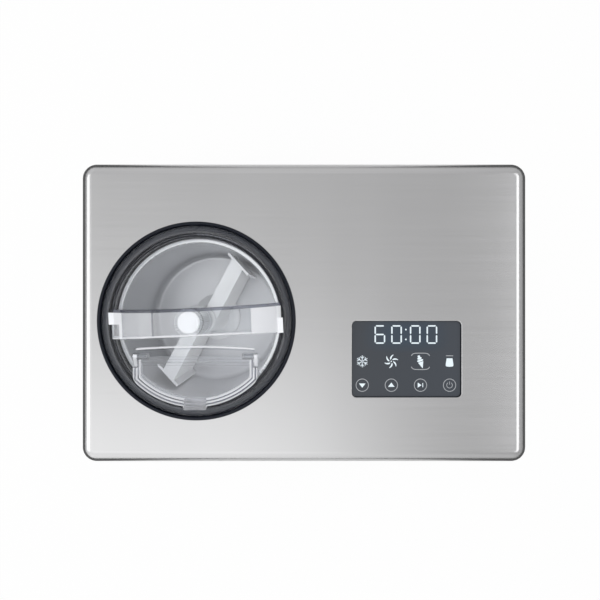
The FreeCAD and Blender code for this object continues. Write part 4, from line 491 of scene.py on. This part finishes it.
def from_axis(tree, turn=0.0):
    """A point's place from the bowl's axis, in a plan turned by degrees, and its height. In millimetres."""
    x, y, z = tree.parts_of(tree.place())
    x = (x - BOWL_AXIS.x) / MM
    y = (y - BOWL_AXIS.y) / MM
    c, s = math.cos(math.radians(turn)), math.sin(math.radians(turn))
    return x * c + y * s, y * c - x * s, z / MM


def band(tree, value, low, high, soft=0.3):
    """1 where a value lies between two bounds, 0 outside, with soft steps."""
    smooth = {"interpolation_type": "SMOOTHSTEP"}
    rising = tree.node("ShaderNodeMapRange", smooth, {0: value, 1: low - soft, 2: low + soft})
    falling = tree.node("ShaderNodeMapRange", smooth, {0: value, 1: high - soft, 2: high + soft})
    return rising - falling


def lid_masks(tree):
    """The lid: painted shade darkens its skirt and a line before its rib.
    Painted highlights lighten its rib, the bead's foot and the hinge ears.

    The rib is an arch: it comes forward by its sag towards the sides, with the square of the distance.
    """
    x, y, z = from_axis(tree)
    radius = (x * x + y * y) ** 0.5
    over = band(tree, z, *OVER_LID)
    skirt = band(tree, radius, *SKIRT_RING)
    bead = band(tree, radius, *BEAD_RING) * over
    arch = y - RIB_PLACE + RIB_SAG * (x / FLAP_HALF) ** 2
    near = band(tree, x, *RIB_ENDS) * over
    rib = band(tree, arch, *RIB_LINE) * near
    under = band(tree, arch, *RIB_SHADE) * near
    ear = band(tree, abs(x), *EAR_ASIDE) * band(tree, y, *EAR_ALONG) * band(tree, z, *EAR_HEIGHT)
    # Painted shade first, then painted highlight
    return skirt * 0.85 + under * 0.5, rib * 0.8 + bead * 0.1 + ear * 0.6


def flap_masks(tree):
    """The flap: a little darker all over, with painted highlights on rails along its outline, painted shade
    in the gaps between them, and painted shade on its tab.

    inset is the distance inwards from the outline, a circle with two straight sides.
    """
    x, y, _ = from_axis(tree)
    radius = (x * x + y * y) ** 0.5
    inset = radius.maths("MINIMUM", FLAP_RADIUS - radius, FLAP_HALF - abs(x))
    # Painted highlights on the rails, painted shade in the gaps
    pale = sum(band(tree, inset, *rail) for rail in PAINTED_HIGHLIGHT_RAILS)
    painted_shade = sum(band(tree, inset, *gap) for gap in PAINTED_SHADE_GAPS)
    tab = band(tree, x, *TAB_ASIDE) * band(tree, y, *TAB_ALONG)
    rails = band(tree, y, *FLAP_FRONT) * (1.0 - tab)
    return painted_shade * rails * 0.75 + tab * 0.4 + 0.18, pale * rails * 0.4 + tab * 0.14 + 0.05


def handle_masks(tree):
    """The handle: painted shade along its back lip and across its fold, and painted highlights along its
    front lip, on its two sloping ends and faintly over its middle.

    Its half width grows by its flare towards the ends, with the square of the distance.
    """
    x, y, _ = from_axis(tree, HANDLE_TURN)
    half = HANDLE_HALF + HANDLE_FLARE * (x / HANDLE_REACH) ** 2
    # Painted shade lines
    back = band(tree, half - y, *BACK_LIP) + band(tree, x, *FOLD_LINE)
    front = band(tree, half + y, *FRONT_LIP)
    # Painted highlights
    block = (0.25 + 0.6 * band(tree, y, *BACK_HALF)) * band(tree, x, *LEFT_BLOCK)
    left = 0.26 * band(tree, x, *LEFT_SLOPE) + 0.85 * band(tree, x, *LEFT_STRIP) + block
    right = 0.7 * band(tree, x, *RIGHT_SLOPE) + 0.95 * band(tree, x, *RIGHT_STRIP)
    middle = 0.15 * band(tree, x, *LEFT_MIDDLE)
    pale = (left + middle + right) * band(tree, half - y, *BETWEEN_LIPS)
    return back * 0.75, pale.maths("MAXIMUM", pale, front * 0.6)


def metal(name, base, roughness, grain=0.004, depth=0.00001, metallic=1.0, unevenness=0.1):
    """Plain metal: grainy noise in its tone, roughness and bump."""
    tree = Finish(name)
    place = tree.place()
    coarse = tree.noise(tree.spread(place, (grain * 5,) * 3), 3.0)
    fine = tree.noise(tree.spread(place, (grain,) * 3), 3.0)
    colours = tones(tree, coarse, base, unevenness)
    uneven = roughness - 0.08 + fine * 0.1 + coarse * 0.06
    tree.surface(tree.principled(colours, uneven, metallic, tree.bump(fine, depth)))
    return tree.material


def foam(name):
    """Poured insulating foam: closed cells in its bump and its tone."""
    tree = Finish(name)
    place = tree.place()
    cells = tree.cells(tree.spread(place, (0.0016,) * 3))
    clouds = tree.noise(tree.spread(place, (0.03,) * 3), 2.0)
    base = tree.mixed(cells * 0.5 + clouds * 0.5, (0.62, 0.5, 0.26), (0.8, 0.7, 0.45))
    tree.surface(tree.principled(base, 0.85, 0.0, tree.bump(cells, 0.0004)))
    return tree.material


def circuit_board(name):
    """Green boards with tracks, dark casings on the power board and bare contacts on the touch board.

    The power board is the lower one. A step halfway up a board's reach parts its face from what stands on it.
    """
    tree = Finish(name)
    place = tree.place()
    _, y, z = tree.parts_of(place)
    step = [(0.45, 0.0), (0.5, 1.0)]
    tracks = tree.ramp(tree.cells(tree.spread(place, (TRACK_PITCH,) * 3)), step)
    green = tree.mixed(tracks * 0.6, (0.012, 0.09, 0.035), (0.02, 0.16, 0.06))
    grain = tree.noise(tree.spread(place, (0.0005,) * 3))
    casing = tree.mixed(grain, (0.015, 0.016, 0.02), (0.03, 0.032, 0.04))
    power = tree.mixed(tree.ramp((y - BOARD_LOW.y) / BOARD_REACH, step), green, casing)
    keys = tree.mixed(tree.ramp((z - KEYS_LOW.z) / BOARD_REACH, step), green, (0.6, 0.58, 0.52))
    is_low = tree.ramp(z / INNER_HEIGHT, [(0.5, 1.0), (0.52, 0.0)])
    base = tree.mixed(is_low, keys, power)
    tree.surface(tree.principled(base, 0.35 + tracks * 0.1, 0.0, tree.bump(tracks, 0.00004)))
    return tree.material


def panel_glass(name, look):
    """Dark coated glass with a painted sheen that lightens it to the right and a painted glow that makes it
    bluer round the digits, with faint smears in its gloss.
    """
    tree = Finish(name)
    place = tree.place()
    x, y, _ = tree.parts_of(place)
    aside = abs(x - GLASS_MIDDLE.x) / GLOW_HALF_X
    above = abs(y - GLASS_MIDDLE.y - look.digit_rise) / GLOW_HALF_Y
    far = (aside ** 4 + above ** 4) ** 0.25
    # Painted glow round the digits
    glow = tree.ramp(far, [(0.4, 1.0), (1.0, 0.0)])
    red, green, blue = look.glass
    smears = tree.noise(tree.spread(place, (0.02, 0.035, 0.02)), 3.0)
    # Painted sheen: lighter to the right
    along = (x - GLASS_LOW.x) / (GLASS_HIGH.x - GLASS_LOW.x)
    painted_sheen = tree.mixed(along, scaled(look.glass, 0.9), scaled(look.glass, 1.2))
    base = tree.mixed(glow, painted_sheen, (red * 0.85, green * 1.1, blue * 1.3))
    tree.surface(tree.principled(base, 0.08 + smears * 0.08, 0.0, IOR=1.5))
    return tree.material


def lit_mark(name, tone, body, strength):
    """A mark that glows in a tone, a touch unevenly by fine noise. Its body has a share of that tone."""
    tree = Finish(name)
    grain = tree.noise(tree.spread(tree.place(), (0.0015,) * 3), 1.0)
    glow = tree.mixed(grain, scaled(tone, 0.94), tuple(tone))
    tree.surface(tree.principled(scaled(tone, body), 0.4, Emission_Color=glow, Emission_Strength=strength))
    return tree.material


def give(material, *nodes):
    """Puts a material on CAD nodes."""
    for name in nodes:
        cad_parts[name].material_slots[0].material = material


def nodes_with(slot):
    """The CAD nodes that the record gives a material slot."""
    named = {name: item.material_slots[0].material.name for name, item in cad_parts.items()}
    return [name for name, material in named.items() if material.split(".")[0] == slot]


# Flat marks

def strip(path, half):
    """A flat strip's rings: at each point of a path, the points that lie half to its left and to its right.

    path is an (n, 2) array, and half is a number or n numbers. Left is the path's direction turned by a
    quarter.
    """
    path = np.asarray(path, float)
    ahead = np.gradient(path, axis=0)
    ahead /= np.linalg.norm(ahead, axis=1)[:, None]
    left = np.stack([-ahead[:, 1], ahead[:, 0]], axis=1) * np.broadcast_to(half, len(path))[:, None]
    return path + left, path - left


def straight(start, end, half, taper=0.0):
    """A straight strip, drawn in to a blunt point over a length of taper at both ends."""
    start = np.asarray(start, float)
    end = np.asarray(end, float)
    size = np.linalg.norm(end - start)
    along = np.array([0.0, taper / size, 1 - taper / size, 1.0]) if taper else np.array([0.0, 1.0])
    wide = np.array([0.15, 1.0, 1.0, 0.15]) * half if taper else half
    return strip(start + along[:, None] * (end - start), wide)


def straight_taper(start, end, first, last):
    """A straight strip whose half width changes evenly from first to last."""
    return strip(np.array([start, end], float), np.array([first, last]))


def arc(radius, first, last, half, steps=48):
    """A strip along a circle's arc between two angles in degrees."""
    turn = np.radians(np.linspace(first, last, steps))
    return strip(np.stack([np.cos(turn), np.sin(turn)], axis=1) * radius, half)


def turned_by(strips, degrees):
    """Strips turned about the origin."""
    c, s = math.cos(math.radians(degrees)), math.sin(math.radians(degrees))
    matrix = np.array([[c, s], [-s, c]])
    return [(left @ matrix, right @ matrix) for left, right in strips]


def mark_mesh(name, strips, low, thickness):
    """A mesh of closed flat bars in metres, each a rectangle carried along a strip, from a low plane upwards.

    Each ring holds left low, left high, right high and right low. Faces join a ring to the next, and two
    close the ends. Bars that cross stand a hair apart in height, so that no two faces lie in one plane.
    """
    points, faces, count = [], [], 0
    for index, (left, right) in enumerate(strips):
        high = low + thickness * (1 + BAR_STEP * index)
        n = len(left)
        rings = np.empty((n, 4, 3))
        rings[:, :2, :2] = left[:, None]
        rings[:, 2:, :2] = right[:, None]
        rings[:, (0, 3), 2] = low
        rings[:, 1:3, 2] = high
        points.append(rings.reshape(-1, 3))
        first = count + 4 * np.arange(n - 1)[:, None] + np.arange(4)
        second = count + 4 * np.arange(n - 1)[:, None] + (np.arange(4) + 1) % 4
        faces.append(np.stack([first, second, second + 4, first + 4], axis=2).reshape(-1, 4))
        end = count + 4 * (n - 1)
        faces.append(np.array([[count + 3, count + 2, count + 1, count], [end, end + 1, end + 2, end + 3]]))
        count += 4 * n
    mesh = bpy.data.meshes.new(name)
    mesh.from_pydata(np.concatenate(points).tolist(), [], np.concatenate(faces).tolist())
    mesh.validate()
    return mesh


def put_mark(name, strips, offset, look, material):
    """Makes one mark on the glass, strips in millimetres about offset, and lets it ride on the casing."""
    middle = np.array([GLASS_MIDDLE.x - look.left_shift, GLASS_MIDDLE.y]) + offset
    placed = [(left * MM + middle, right * MM + middle) for left, right in strips]
    mesh = mark_mesh(name, placed, GLASS_HIGH.z, look.mark_height)
    mesh.materials.append(material)
    piece = bpy.data.objects.new(name, mesh)
    bpy.context.scene.collection.objects.link(piece)
    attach(piece, "casing")


def digit(segments, look):
    """The strips of a seven-segment digit, its segments named a to g as usual."""
    half = look.digit_stroke / MM / 2
    x = look.digit_width / MM / 2 - half
    y = look.digit_height / MM / 2 - half
    gap = 0.5
    corners = {
        "a": ((-x, y), (x, y)), "b": ((x, y), (x, 0)), "c": ((x, 0), (x, -y)), "d": ((-x, -y), (x, -y)),
        "e": ((-x, 0), (-x, -y)), "f": ((-x, y), (-x, 0)), "g": ((-x, 0), (x, 0)),
    }
    strips = []
    for letter in segments:
        start, end = (np.array(p, float) for p in corners[letter])
        inset = (end - start) / np.linalg.norm(end - start) * gap
        strips.append(straight(start + inset, end - inset, half, half))
    return strips


def snowflake():
    """Six arms, each a bar with a pair of twigs."""
    arm = [straight((0, 0.5), (0, 5.7), 0.32)]
    for side in (-1, 1):
        arm.append(straight((0, 2.9), (side * 1.9, 4.6), 0.3))
    return [piece for k in range(6) for piece in turned_by(arm, 60 * k)]


def whirl():
    """Six curved blades round a dot: each runs outwards as it turns back, and is widest in its inner half."""
    t = np.linspace(0.0, 1.0, 14)
    radius = 1.7 + 4.9 * t
    turn = np.radians(112 - 40 * t)
    path = np.stack([np.cos(turn), np.sin(turn)], axis=1) * radius[:, None]
    blade = [strip(path, 0.2 + 0.5 * np.sin(np.pi * t ** 0.8))]
    dot = [straight((-0.7, 0.0), (0.7, 0.0), 0.6, 0.4)]
    return dot + [piece for k in range(6) for piece in turned_by(blade, 60 * k)]


def cone():
    """A leaning cone with a swirl on it: three widening lobes over a wafer that runs to a point."""
    t = np.linspace(0.0, 1.0, 12)
    lobes = []
    for top, wide in ((5.9, 1.2), (4.0, 2.1), (1.8, 3.0)):
        path = np.stack([0 * t, top - 2.0 * t], axis=1)
        lobes.append(strip(path, wide * np.sin(np.pi * (0.12 + 0.76 * t)) ** 0.6))
    return turned_by(lobes + [straight_taper((0.0, -0.6), (0.0, -6.7), 2.6, 0.2)], 18)


def brackets():
    """Two brackets, the upper and the lower part of a rounded box, an oval whose powers make it squarer."""
    turn = np.radians(np.linspace(24, 156, 40))
    square = 0.45
    aside = np.sign(np.cos(turn)) * np.abs(np.cos(turn)) ** square * 9.0
    box = np.stack([aside, np.sin(turn) ** square * 7.8], axis=1)
    return [strip(box, 0.36), strip(box * (1, -1), 0.36)]


def jar():
    """A jar's body, which widens downwards and is rounded below."""
    t = np.linspace(0.0, 1.0, 24)
    return [strip(np.stack([0 * t, 2.9 - 8.1 * t], axis=1), (2.7 + 1.3 * t) * (1 - t ** 8) ** 0.25 + 0.05)]


def jar_lid():
    """The line over a jar's body."""
    return [straight((-3.4, 5.3), (3.4, 5.3), 0.36)]


def key_symbols():
    """The four keys' symbols from left to right: down, up, start and pause, and power."""
    down = [straight_taper((0, 1.6), (0, -2.3), 3.1, 0.15)]
    up = turned_by(down, 180)
    start = [straight_taper((-2.6, 0), (0.8, 0), 2.4, 0.15), straight((2.2, -2.0), (2.2, 2.0), 0.34)]
    power = [arc(2.7, 125, 415, 0.28), straight((0, 0.6), (0, 3.5), 0.28)]
    return [down, up, start, power]


# Operators

class ICEMAKER_OT_steel(bpy.types.Operator):
    """Brushed steel on the top, the side walls and the back cover"""

    bl_idname = "icemaker.steel"
    bl_label = "Steel casing"

    def execute(self, context):
        look = context.scene.icemaker_steel
        give(brushed_steel("brushed_top", look, (False, True, True), shoulder), "top_panel")
        give(brushed_steel("brushed_wall", look, (False, False, True)), "side_wrap", "rear_cover")
        return {"FINISHED"}


class ICEMAKER_OT_plastics(bpy.types.Operator):
    """Moulded plastics, rubber and foam"""

    bl_idname = "icemaker.plastics"
    bl_label = "Plastics and rubber"

    def execute(self, context):
        look = context.scene.icemaker_plastic
        dull = {"Specular_IOR_Level": 0.2}
        give(moulded("black_moulding", look.black, 0.35, **dull), *nodes_with("black_plastic"))
        give(moulded("grey_moulding", look.grey, 0.5), *nodes_with("grey_plastic"))
        # The holder under the glass takes the black, not the grey, so the gap round the glass reads dark:
        # painted shade
        give(moulded("holder_black_for_shade", look.black, 0.5, **dull), "control_holder")
        give(moulded("soft_rubber", look.rubber, 0.75, texture=0.0006, depth=0.00003), *nodes_with("rubber"))
        give(moulded("ring_rubber", look.seal, 0.5), *nodes_with("seal_rubber"))
        give(moulded("gear_nylon", (0.72, 0.69, 0.6), 0.45), *nodes_with("nylon"))
        give(foam("poured_foam"), *nodes_with("foam"))
        return {"FINISHED"}


class ICEMAKER_OT_lid(bpy.types.Operator):
    """Clear plastic on the lid, its handle, its flap and the flap's pins"""

    bl_idname = "icemaker.lid"
    bl_label = "Clear lid"

    def execute(self, context):
        look = context.scene.icemaker_lid
        give(clear_plastic("clear_lid", look, lid_masks), "lid", "flap_pins")
        give(clear_plastic("clear_flap", look, flap_masks), "refill_flap")
        give(clear_plastic("clear_handle", look, handle_masks), "lid_handle")
        return {"FINISHED"}


class ICEMAKER_OT_bowl(bpy.types.Operator):
    """Satin metal on the bowl and the well, white plastic on the paddle and its bearing"""

    bl_idname = "icemaker.bowl"
    bl_label = "Bowl and paddle"

    def execute(self, context):
        metal_look = context.scene.icemaker_bowl
        look = context.scene.icemaker_plastic
        give(turned_metal("satin_bowl", metal_look), *nodes_with("bowl_metal"))
        give(turned_metal("satin_well", metal_look), *nodes_with("well_metal"))
        soft = {"Subsurface_Weight": 0.4, "Subsurface_Radius": (1.0, 1.0, 1.0), "Subsurface_Scale": 0.005}
        give(moulded("white_moulding", look.white, 0.4, **soft), *nodes_with("white_plastic"))
        give(moulded("paddle_moulding", look.paddle, 0.4, **soft), "paddle")
        return {"FINISHED"}


class ICEMAKER_OT_works(bpy.types.Operator):
    """Metals and boards of the drive, the cooling circuit and the screws"""

    bl_idname = "icemaker.works"
    bl_label = "Inner works"

    def execute(self, context):
        give(metal("plated_screw", (0.62, 0.62, 0.6), 0.35), *nodes_with("fastener"))
        give(metal("ground_shaft", (0.6, 0.6, 0.61), 0.25, grain=0.002), *nodes_with("shaft_steel"))
        iron = metal("cast_iron", (0.2, 0.19, 0.185), 0.65, grain=0.0015, depth=0.00006, metallic=0.9)
        give(iron, *nodes_with("iron"))
        give(metal("oiled_bronze", (0.55, 0.36, 0.17), 0.4), *nodes_with("bronze"))
        zinc = metal("cast_zinc", (0.5, 0.51, 0.52), 0.5, grain=0.0012, depth=0.00003)
        give(zinc, *nodes_with("zinc"))
        copper = metal("drawn_copper", (0.78, 0.36, 0.22), 0.32, grain=0.003, unevenness=0.2)
        give(copper, *nodes_with("copper"))
        give(metal("rolled_fins", (0.72, 0.73, 0.74), 0.4), *nodes_with("fin_metal"))
        enamel = moulded("black_enamel", (0.014, 0.014, 0.015), 0.3, texture=0.002, depth=0.00003)
        give(enamel, *nodes_with("black_paint"))
        give(circuit_board("boards"), *nodes_with("circuit_board"))
        return {"FINISHED"}


class ICEMAKER_OT_panel(bpy.types.Operator):
    """Dark glass with a lit timer, four icons and four touch keys"""

    bl_idname = "icemaker.panel"
    bl_label = "Panel and its marks"

    def execute(self, context):
        look = context.scene.icemaker_panel
        give(panel_glass("dark_glass", look), *nodes_with("panel_glass"))
        give(moulded("dark_display", (0.01, 0.012, 0.014), 0.25), *nodes_with("display"))
        lit = lit_mark("lit_mark", look.lit, body=0.25, strength=0.72)
        # The printed marks also glow faintly: a painted glow
        printed = lit_mark("printed_mark", look.print, body=0.65, strength=0.05)
        self.timer(look, lit)
        columns = (np.arange(4) - 1.5) * look.column_step
        icons = {"icon_freeze": snowflake(), "icon_stir": whirl(), "icon_serve": cone(), "icon_keep": jar()}
        for x, (name, strips) in zip(columns, icons.items()):
            put_mark(name, strips, (x, -look.icon_drop), look, lit)
        put_mark("icon_serve_brackets", brackets(), (columns[2], -look.icon_drop), look, printed)
        put_mark("icon_keep_lid", jar_lid(), (columns[3], -look.icon_drop), look, printed)
        names = ("key_down", "key_up", "key_start", "key_power")
        inks = (lit, lit, lit, printed)
        for x, name, symbol, ink in zip(columns, names, key_symbols(), inks):
            put_mark(name, symbol, (x, -look.key_drop), look, ink)
            ring = [arc(look.key_radius / MM, 0, 360, 0.32, steps=73)]
            put_mark(name + "_ring", ring, (x, -look.key_drop), look, printed)
        return {"FINISHED"}

    def timer(self, look, lit):
        """The digits 60:00 and the two dots between them."""
        places = (-look.digit_far, -look.digit_near, look.digit_near, look.digit_far)
        for number, (x, segments) in enumerate(zip(places, ("afgecd", "abcdef", "abcdef", "abcdef"))):
            put_mark(f"timer_digit_{number + 1}", digit(segments, look), (x, look.digit_rise), look, lit)
        dots = [straight((-0.8, y), (0.8, y), 0.8, 0.45) for y in (-4.7, 4.7)]
        put_mark("timer_colon", dots, (0.0, look.digit_rise), look, lit)


class ICEMAKER_OT_stage(bpy.types.Operator):
    """A pale floor, soft lamps, a white surround and the camera"""

    bl_idname = "icemaker.stage"
    bl_label = "Stage"

    def execute(self, context):
        look = context.scene.icemaker_stage
        self.floor(look)
        self.surround(context.scene, look)
        self.lamp(*OVERHEAD_LAMP).visible_glossy = False
        self.lamp(*LEFT_LAMP)
        self.lamp(*RIGHT_LAMP)
        self.paddle_lamp()
        self.camera(context.scene, look)
        context.scene.view_settings.view_transform = "Standard"
        return {"FINISHED"}

    def rays(self, tree):
        """Whether a ray comes from the camera, from a mirror or through glass, each 0 or 1."""
        path = tree.node("ShaderNodeLightPath").socket.node
        names = ("Is Camera Ray", "Is Glossy Ray", "Is Transmission Ray")
        return [Wire(tree, path.outputs[name]) for name in names]

    def floor(self, look):
        """A square floor just under the feet, pale to the lamps and nearly white to the eye.

        Metal meets it as a card that is bright under the part and dark beside it.
        """
        tree = Finish("pale_floor")
        camera, glossy, through = self.rays(tree)
        grain = tones(tree, tree.noise(tree.spread(tree.place(), (0.2,) * 3)), look.floor, 0.01)
        x = tree.parts_of(tree.place())[0]
        card = tree.ramp(abs(x), [(0.2, 0.95), (0.3, 0.15)])
        met = tree.mixed(glossy, grain, card)
        matte = tree.node("ShaderNodeBsdfDiffuse", sockets={"Color": met})
        white = tree.node("ShaderNodeEmission", sockets={"Color": (1, 1, 1, 1), "Strength": 1.0})
        seen = camera.maths("MAXIMUM", camera, through) * look.seen_white
        tree.surface(tree.node("ShaderNodeMixShader", sockets={0: seen, 1: matte, 2: white}))
        corners = np.array([(-1, -1), (1, -1), (1, 1), (-1, 1)]) * FLOOR_HALF
        points = np.column_stack([corners, np.full(4, -FLOOR_DROP)])
        mesh = bpy.data.meshes.new("floor")
        mesh.from_pydata(points.tolist(), [], [(0, 1, 2, 3)])
        mesh.materials.append(tree.material)
        floor = bpy.data.objects.new("floor", mesh)
        bpy.context.scene.collection.objects.link(floor)

    def surround(self, scene, look):
        """A white world to the eye. Metal and glass meet a soft room that is brightest at the front left.

        The room's level is a sum of soft ramps over the direction. Ambient light reaches all else.
        """
        world = bpy.data.worlds.new("white_surround")
        world.use_nodes = True
        scene.world = world
        tree = Tree(world.node_tree)
        x, y, z = tree.parts_of(tree.node("ShaderNodeTexCoord", output="Generated"))
        falling = [(0.2, 0.85), (0.36, 0.84), (0.5, 0.74), (0.6, 0.5), (0.68, 0.14), (0.75, 0.0)]
        across = tree.ramp(0.5 + x, falling)
        front = tree.ramp(0.5 - y, [(0.25, 0.08), (0.5, 0.26), (0.66, 0.68), (0.76, 1.0)])
        right = tree.ramp(x, [(0.1, 0.0), (0.35, 0.07)])
        left = tree.ramp(0.0 - x, [(0.33, 0.0), (0.6, 1.0)])
        upward = tree.ramp(z, [(0.0, 0.55), (0.3, 0.6), (0.7, 0.66), (0.86, 1.0)])
        back = tree.ramp(y, [(0.4, 0.0), (0.8, 1.0)])
        near = tree.ramp(0.0 - y, [(0.5, 0.0), (0.8, 1.0)])
        far_right = tree.ramp(x, [(0.65, 0.0), (0.85, 1.0)])
        sides = 0.3 * left + 0.6 * back + 0.6 * near + 0.4 * far_right - right
        room = (look.room + across * front + sides) * upward
        inside = tree.ramp(z, [(0.1, 1.0), (0.25, look.inside), (0.8, look.inside), (0.94, look.zenith)])
        inside = inside * tree.ramp(0.5 + 0.5 * x + 0.25 * y, [(0.25, 1.0), (0.5, 0.88), (0.7, 0.2)])
        camera, glossy, through = self.rays(tree)
        level = look.ambient + (room - look.ambient) * glossy
        level = level + (inside - level) * through
        level = level + (1.0 - level) * camera
        light = tree.node("ShaderNodeBackground", sockets={"Color": (1, 1, 1, 1), "Strength": level})
        tree.node("ShaderNodeOutputWorld", sockets={"Surface": light})

    def lamp(self, name, place, size, power):
        """A soft rectangular lamp that points at the object's middle."""
        data = bpy.data.lights.new(name, "AREA")
        data.shape = "RECTANGLE"
        data.size, data.size_y = size
        data.energy = power
        lamp = bpy.data.objects.new(name, data)
        lamp.location = place
        lamp.rotation_euler = (Vector(LAMP_AIM) - Vector(place)).to_track_quat("-Z", "Y").to_euler()
        lamp.visible_camera = False
        lamp.visible_transmission = False
        bpy.context.scene.collection.objects.link(lamp)
        return lamp

    def paddle_lamp(self):
        """A low lamp from the front right that lights the paddle alone and is shaded by it alone."""
        lamp = self.lamp(*PADDLE_LAMP)
        lamp.visible_glossy = False
        lit = bpy.data.collections.new("lit_paddle")
        lit.objects.link(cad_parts["paddle"])
        lamp.light_linking.receiver_collection = lit
        lamp.light_linking.blocker_collection = lit

    def camera(self, scene, look):
        """A camera that looks straight down, with the object's back at the top of the picture."""
        data = bpy.data.cameras.new("camera")
        data.lens = look.lens
        data.sensor_width = 36.0
        data.clip_start = 0.01
        camera = bpy.data.objects.new("camera", data)
        camera.location = (look.camera_x, look.camera_y, look.camera_z)
        scene.collection.objects.link(camera)
        scene.camera = camera


OPERATORS = (
    ICEMAKER_OT_steel, ICEMAKER_OT_plastics, ICEMAKER_OT_lid, ICEMAKER_OT_bowl, ICEMAKER_OT_works,
    ICEMAKER_OT_panel, ICEMAKER_OT_stage,
)
SETTINGS = {
    "icemaker_steel": SteelSettings, "icemaker_lid": LidSettings, "icemaker_plastic": PlasticSettings,
    "icemaker_bowl": BowlSettings, "icemaker_panel": PanelSettings, "icemaker_stage": StageSettings,
}


class ICEMAKER_PT_sidebar(bpy.types.Panel):
    """Lists the settings and the operators"""

    bl_idname = "ICEMAKER_PT_sidebar"
    bl_label = "Ice cream maker"
    bl_space_type = "VIEW_3D"
    bl_region_type = "UI"
    bl_category = "Ice cream maker"

    def draw(self, context):
        for name, group in SETTINGS.items():
            box = self.layout.box()
            box.label(text=group.__doc__)
            for entry in group.__annotations__:
                box.prop(getattr(context.scene, name), entry)
        for operator in OPERATORS:
            self.layout.operator(operator.bl_idname)


def register():
    for group in SETTINGS.values():
        bpy.utils.register_class(group)
    for item in (*OPERATORS, ICEMAKER_PT_sidebar):
        bpy.utils.register_class(item)
    for name, group in SETTINGS.items():
        setattr(bpy.types.Scene, name, PointerProperty(type=group))


def unregister():
    for name in SETTINGS:
        delattr(bpy.types.Scene, name)
    for item in (ICEMAKER_PT_sidebar, *reversed(OPERATORS), *reversed(SETTINGS.values())):
        bpy.utils.unregister_class(item)


def main():
    register()
    bpy.ops.icemaker.steel()
    bpy.ops.icemaker.plastics()
    bpy.ops.icemaker.lid()
    bpy.ops.icemaker.bowl()
    bpy.ops.icemaker.works()
    bpy.ops.icemaker.panel()
    bpy.ops.icemaker.stage()


if __name__ == "__main__":
    main()
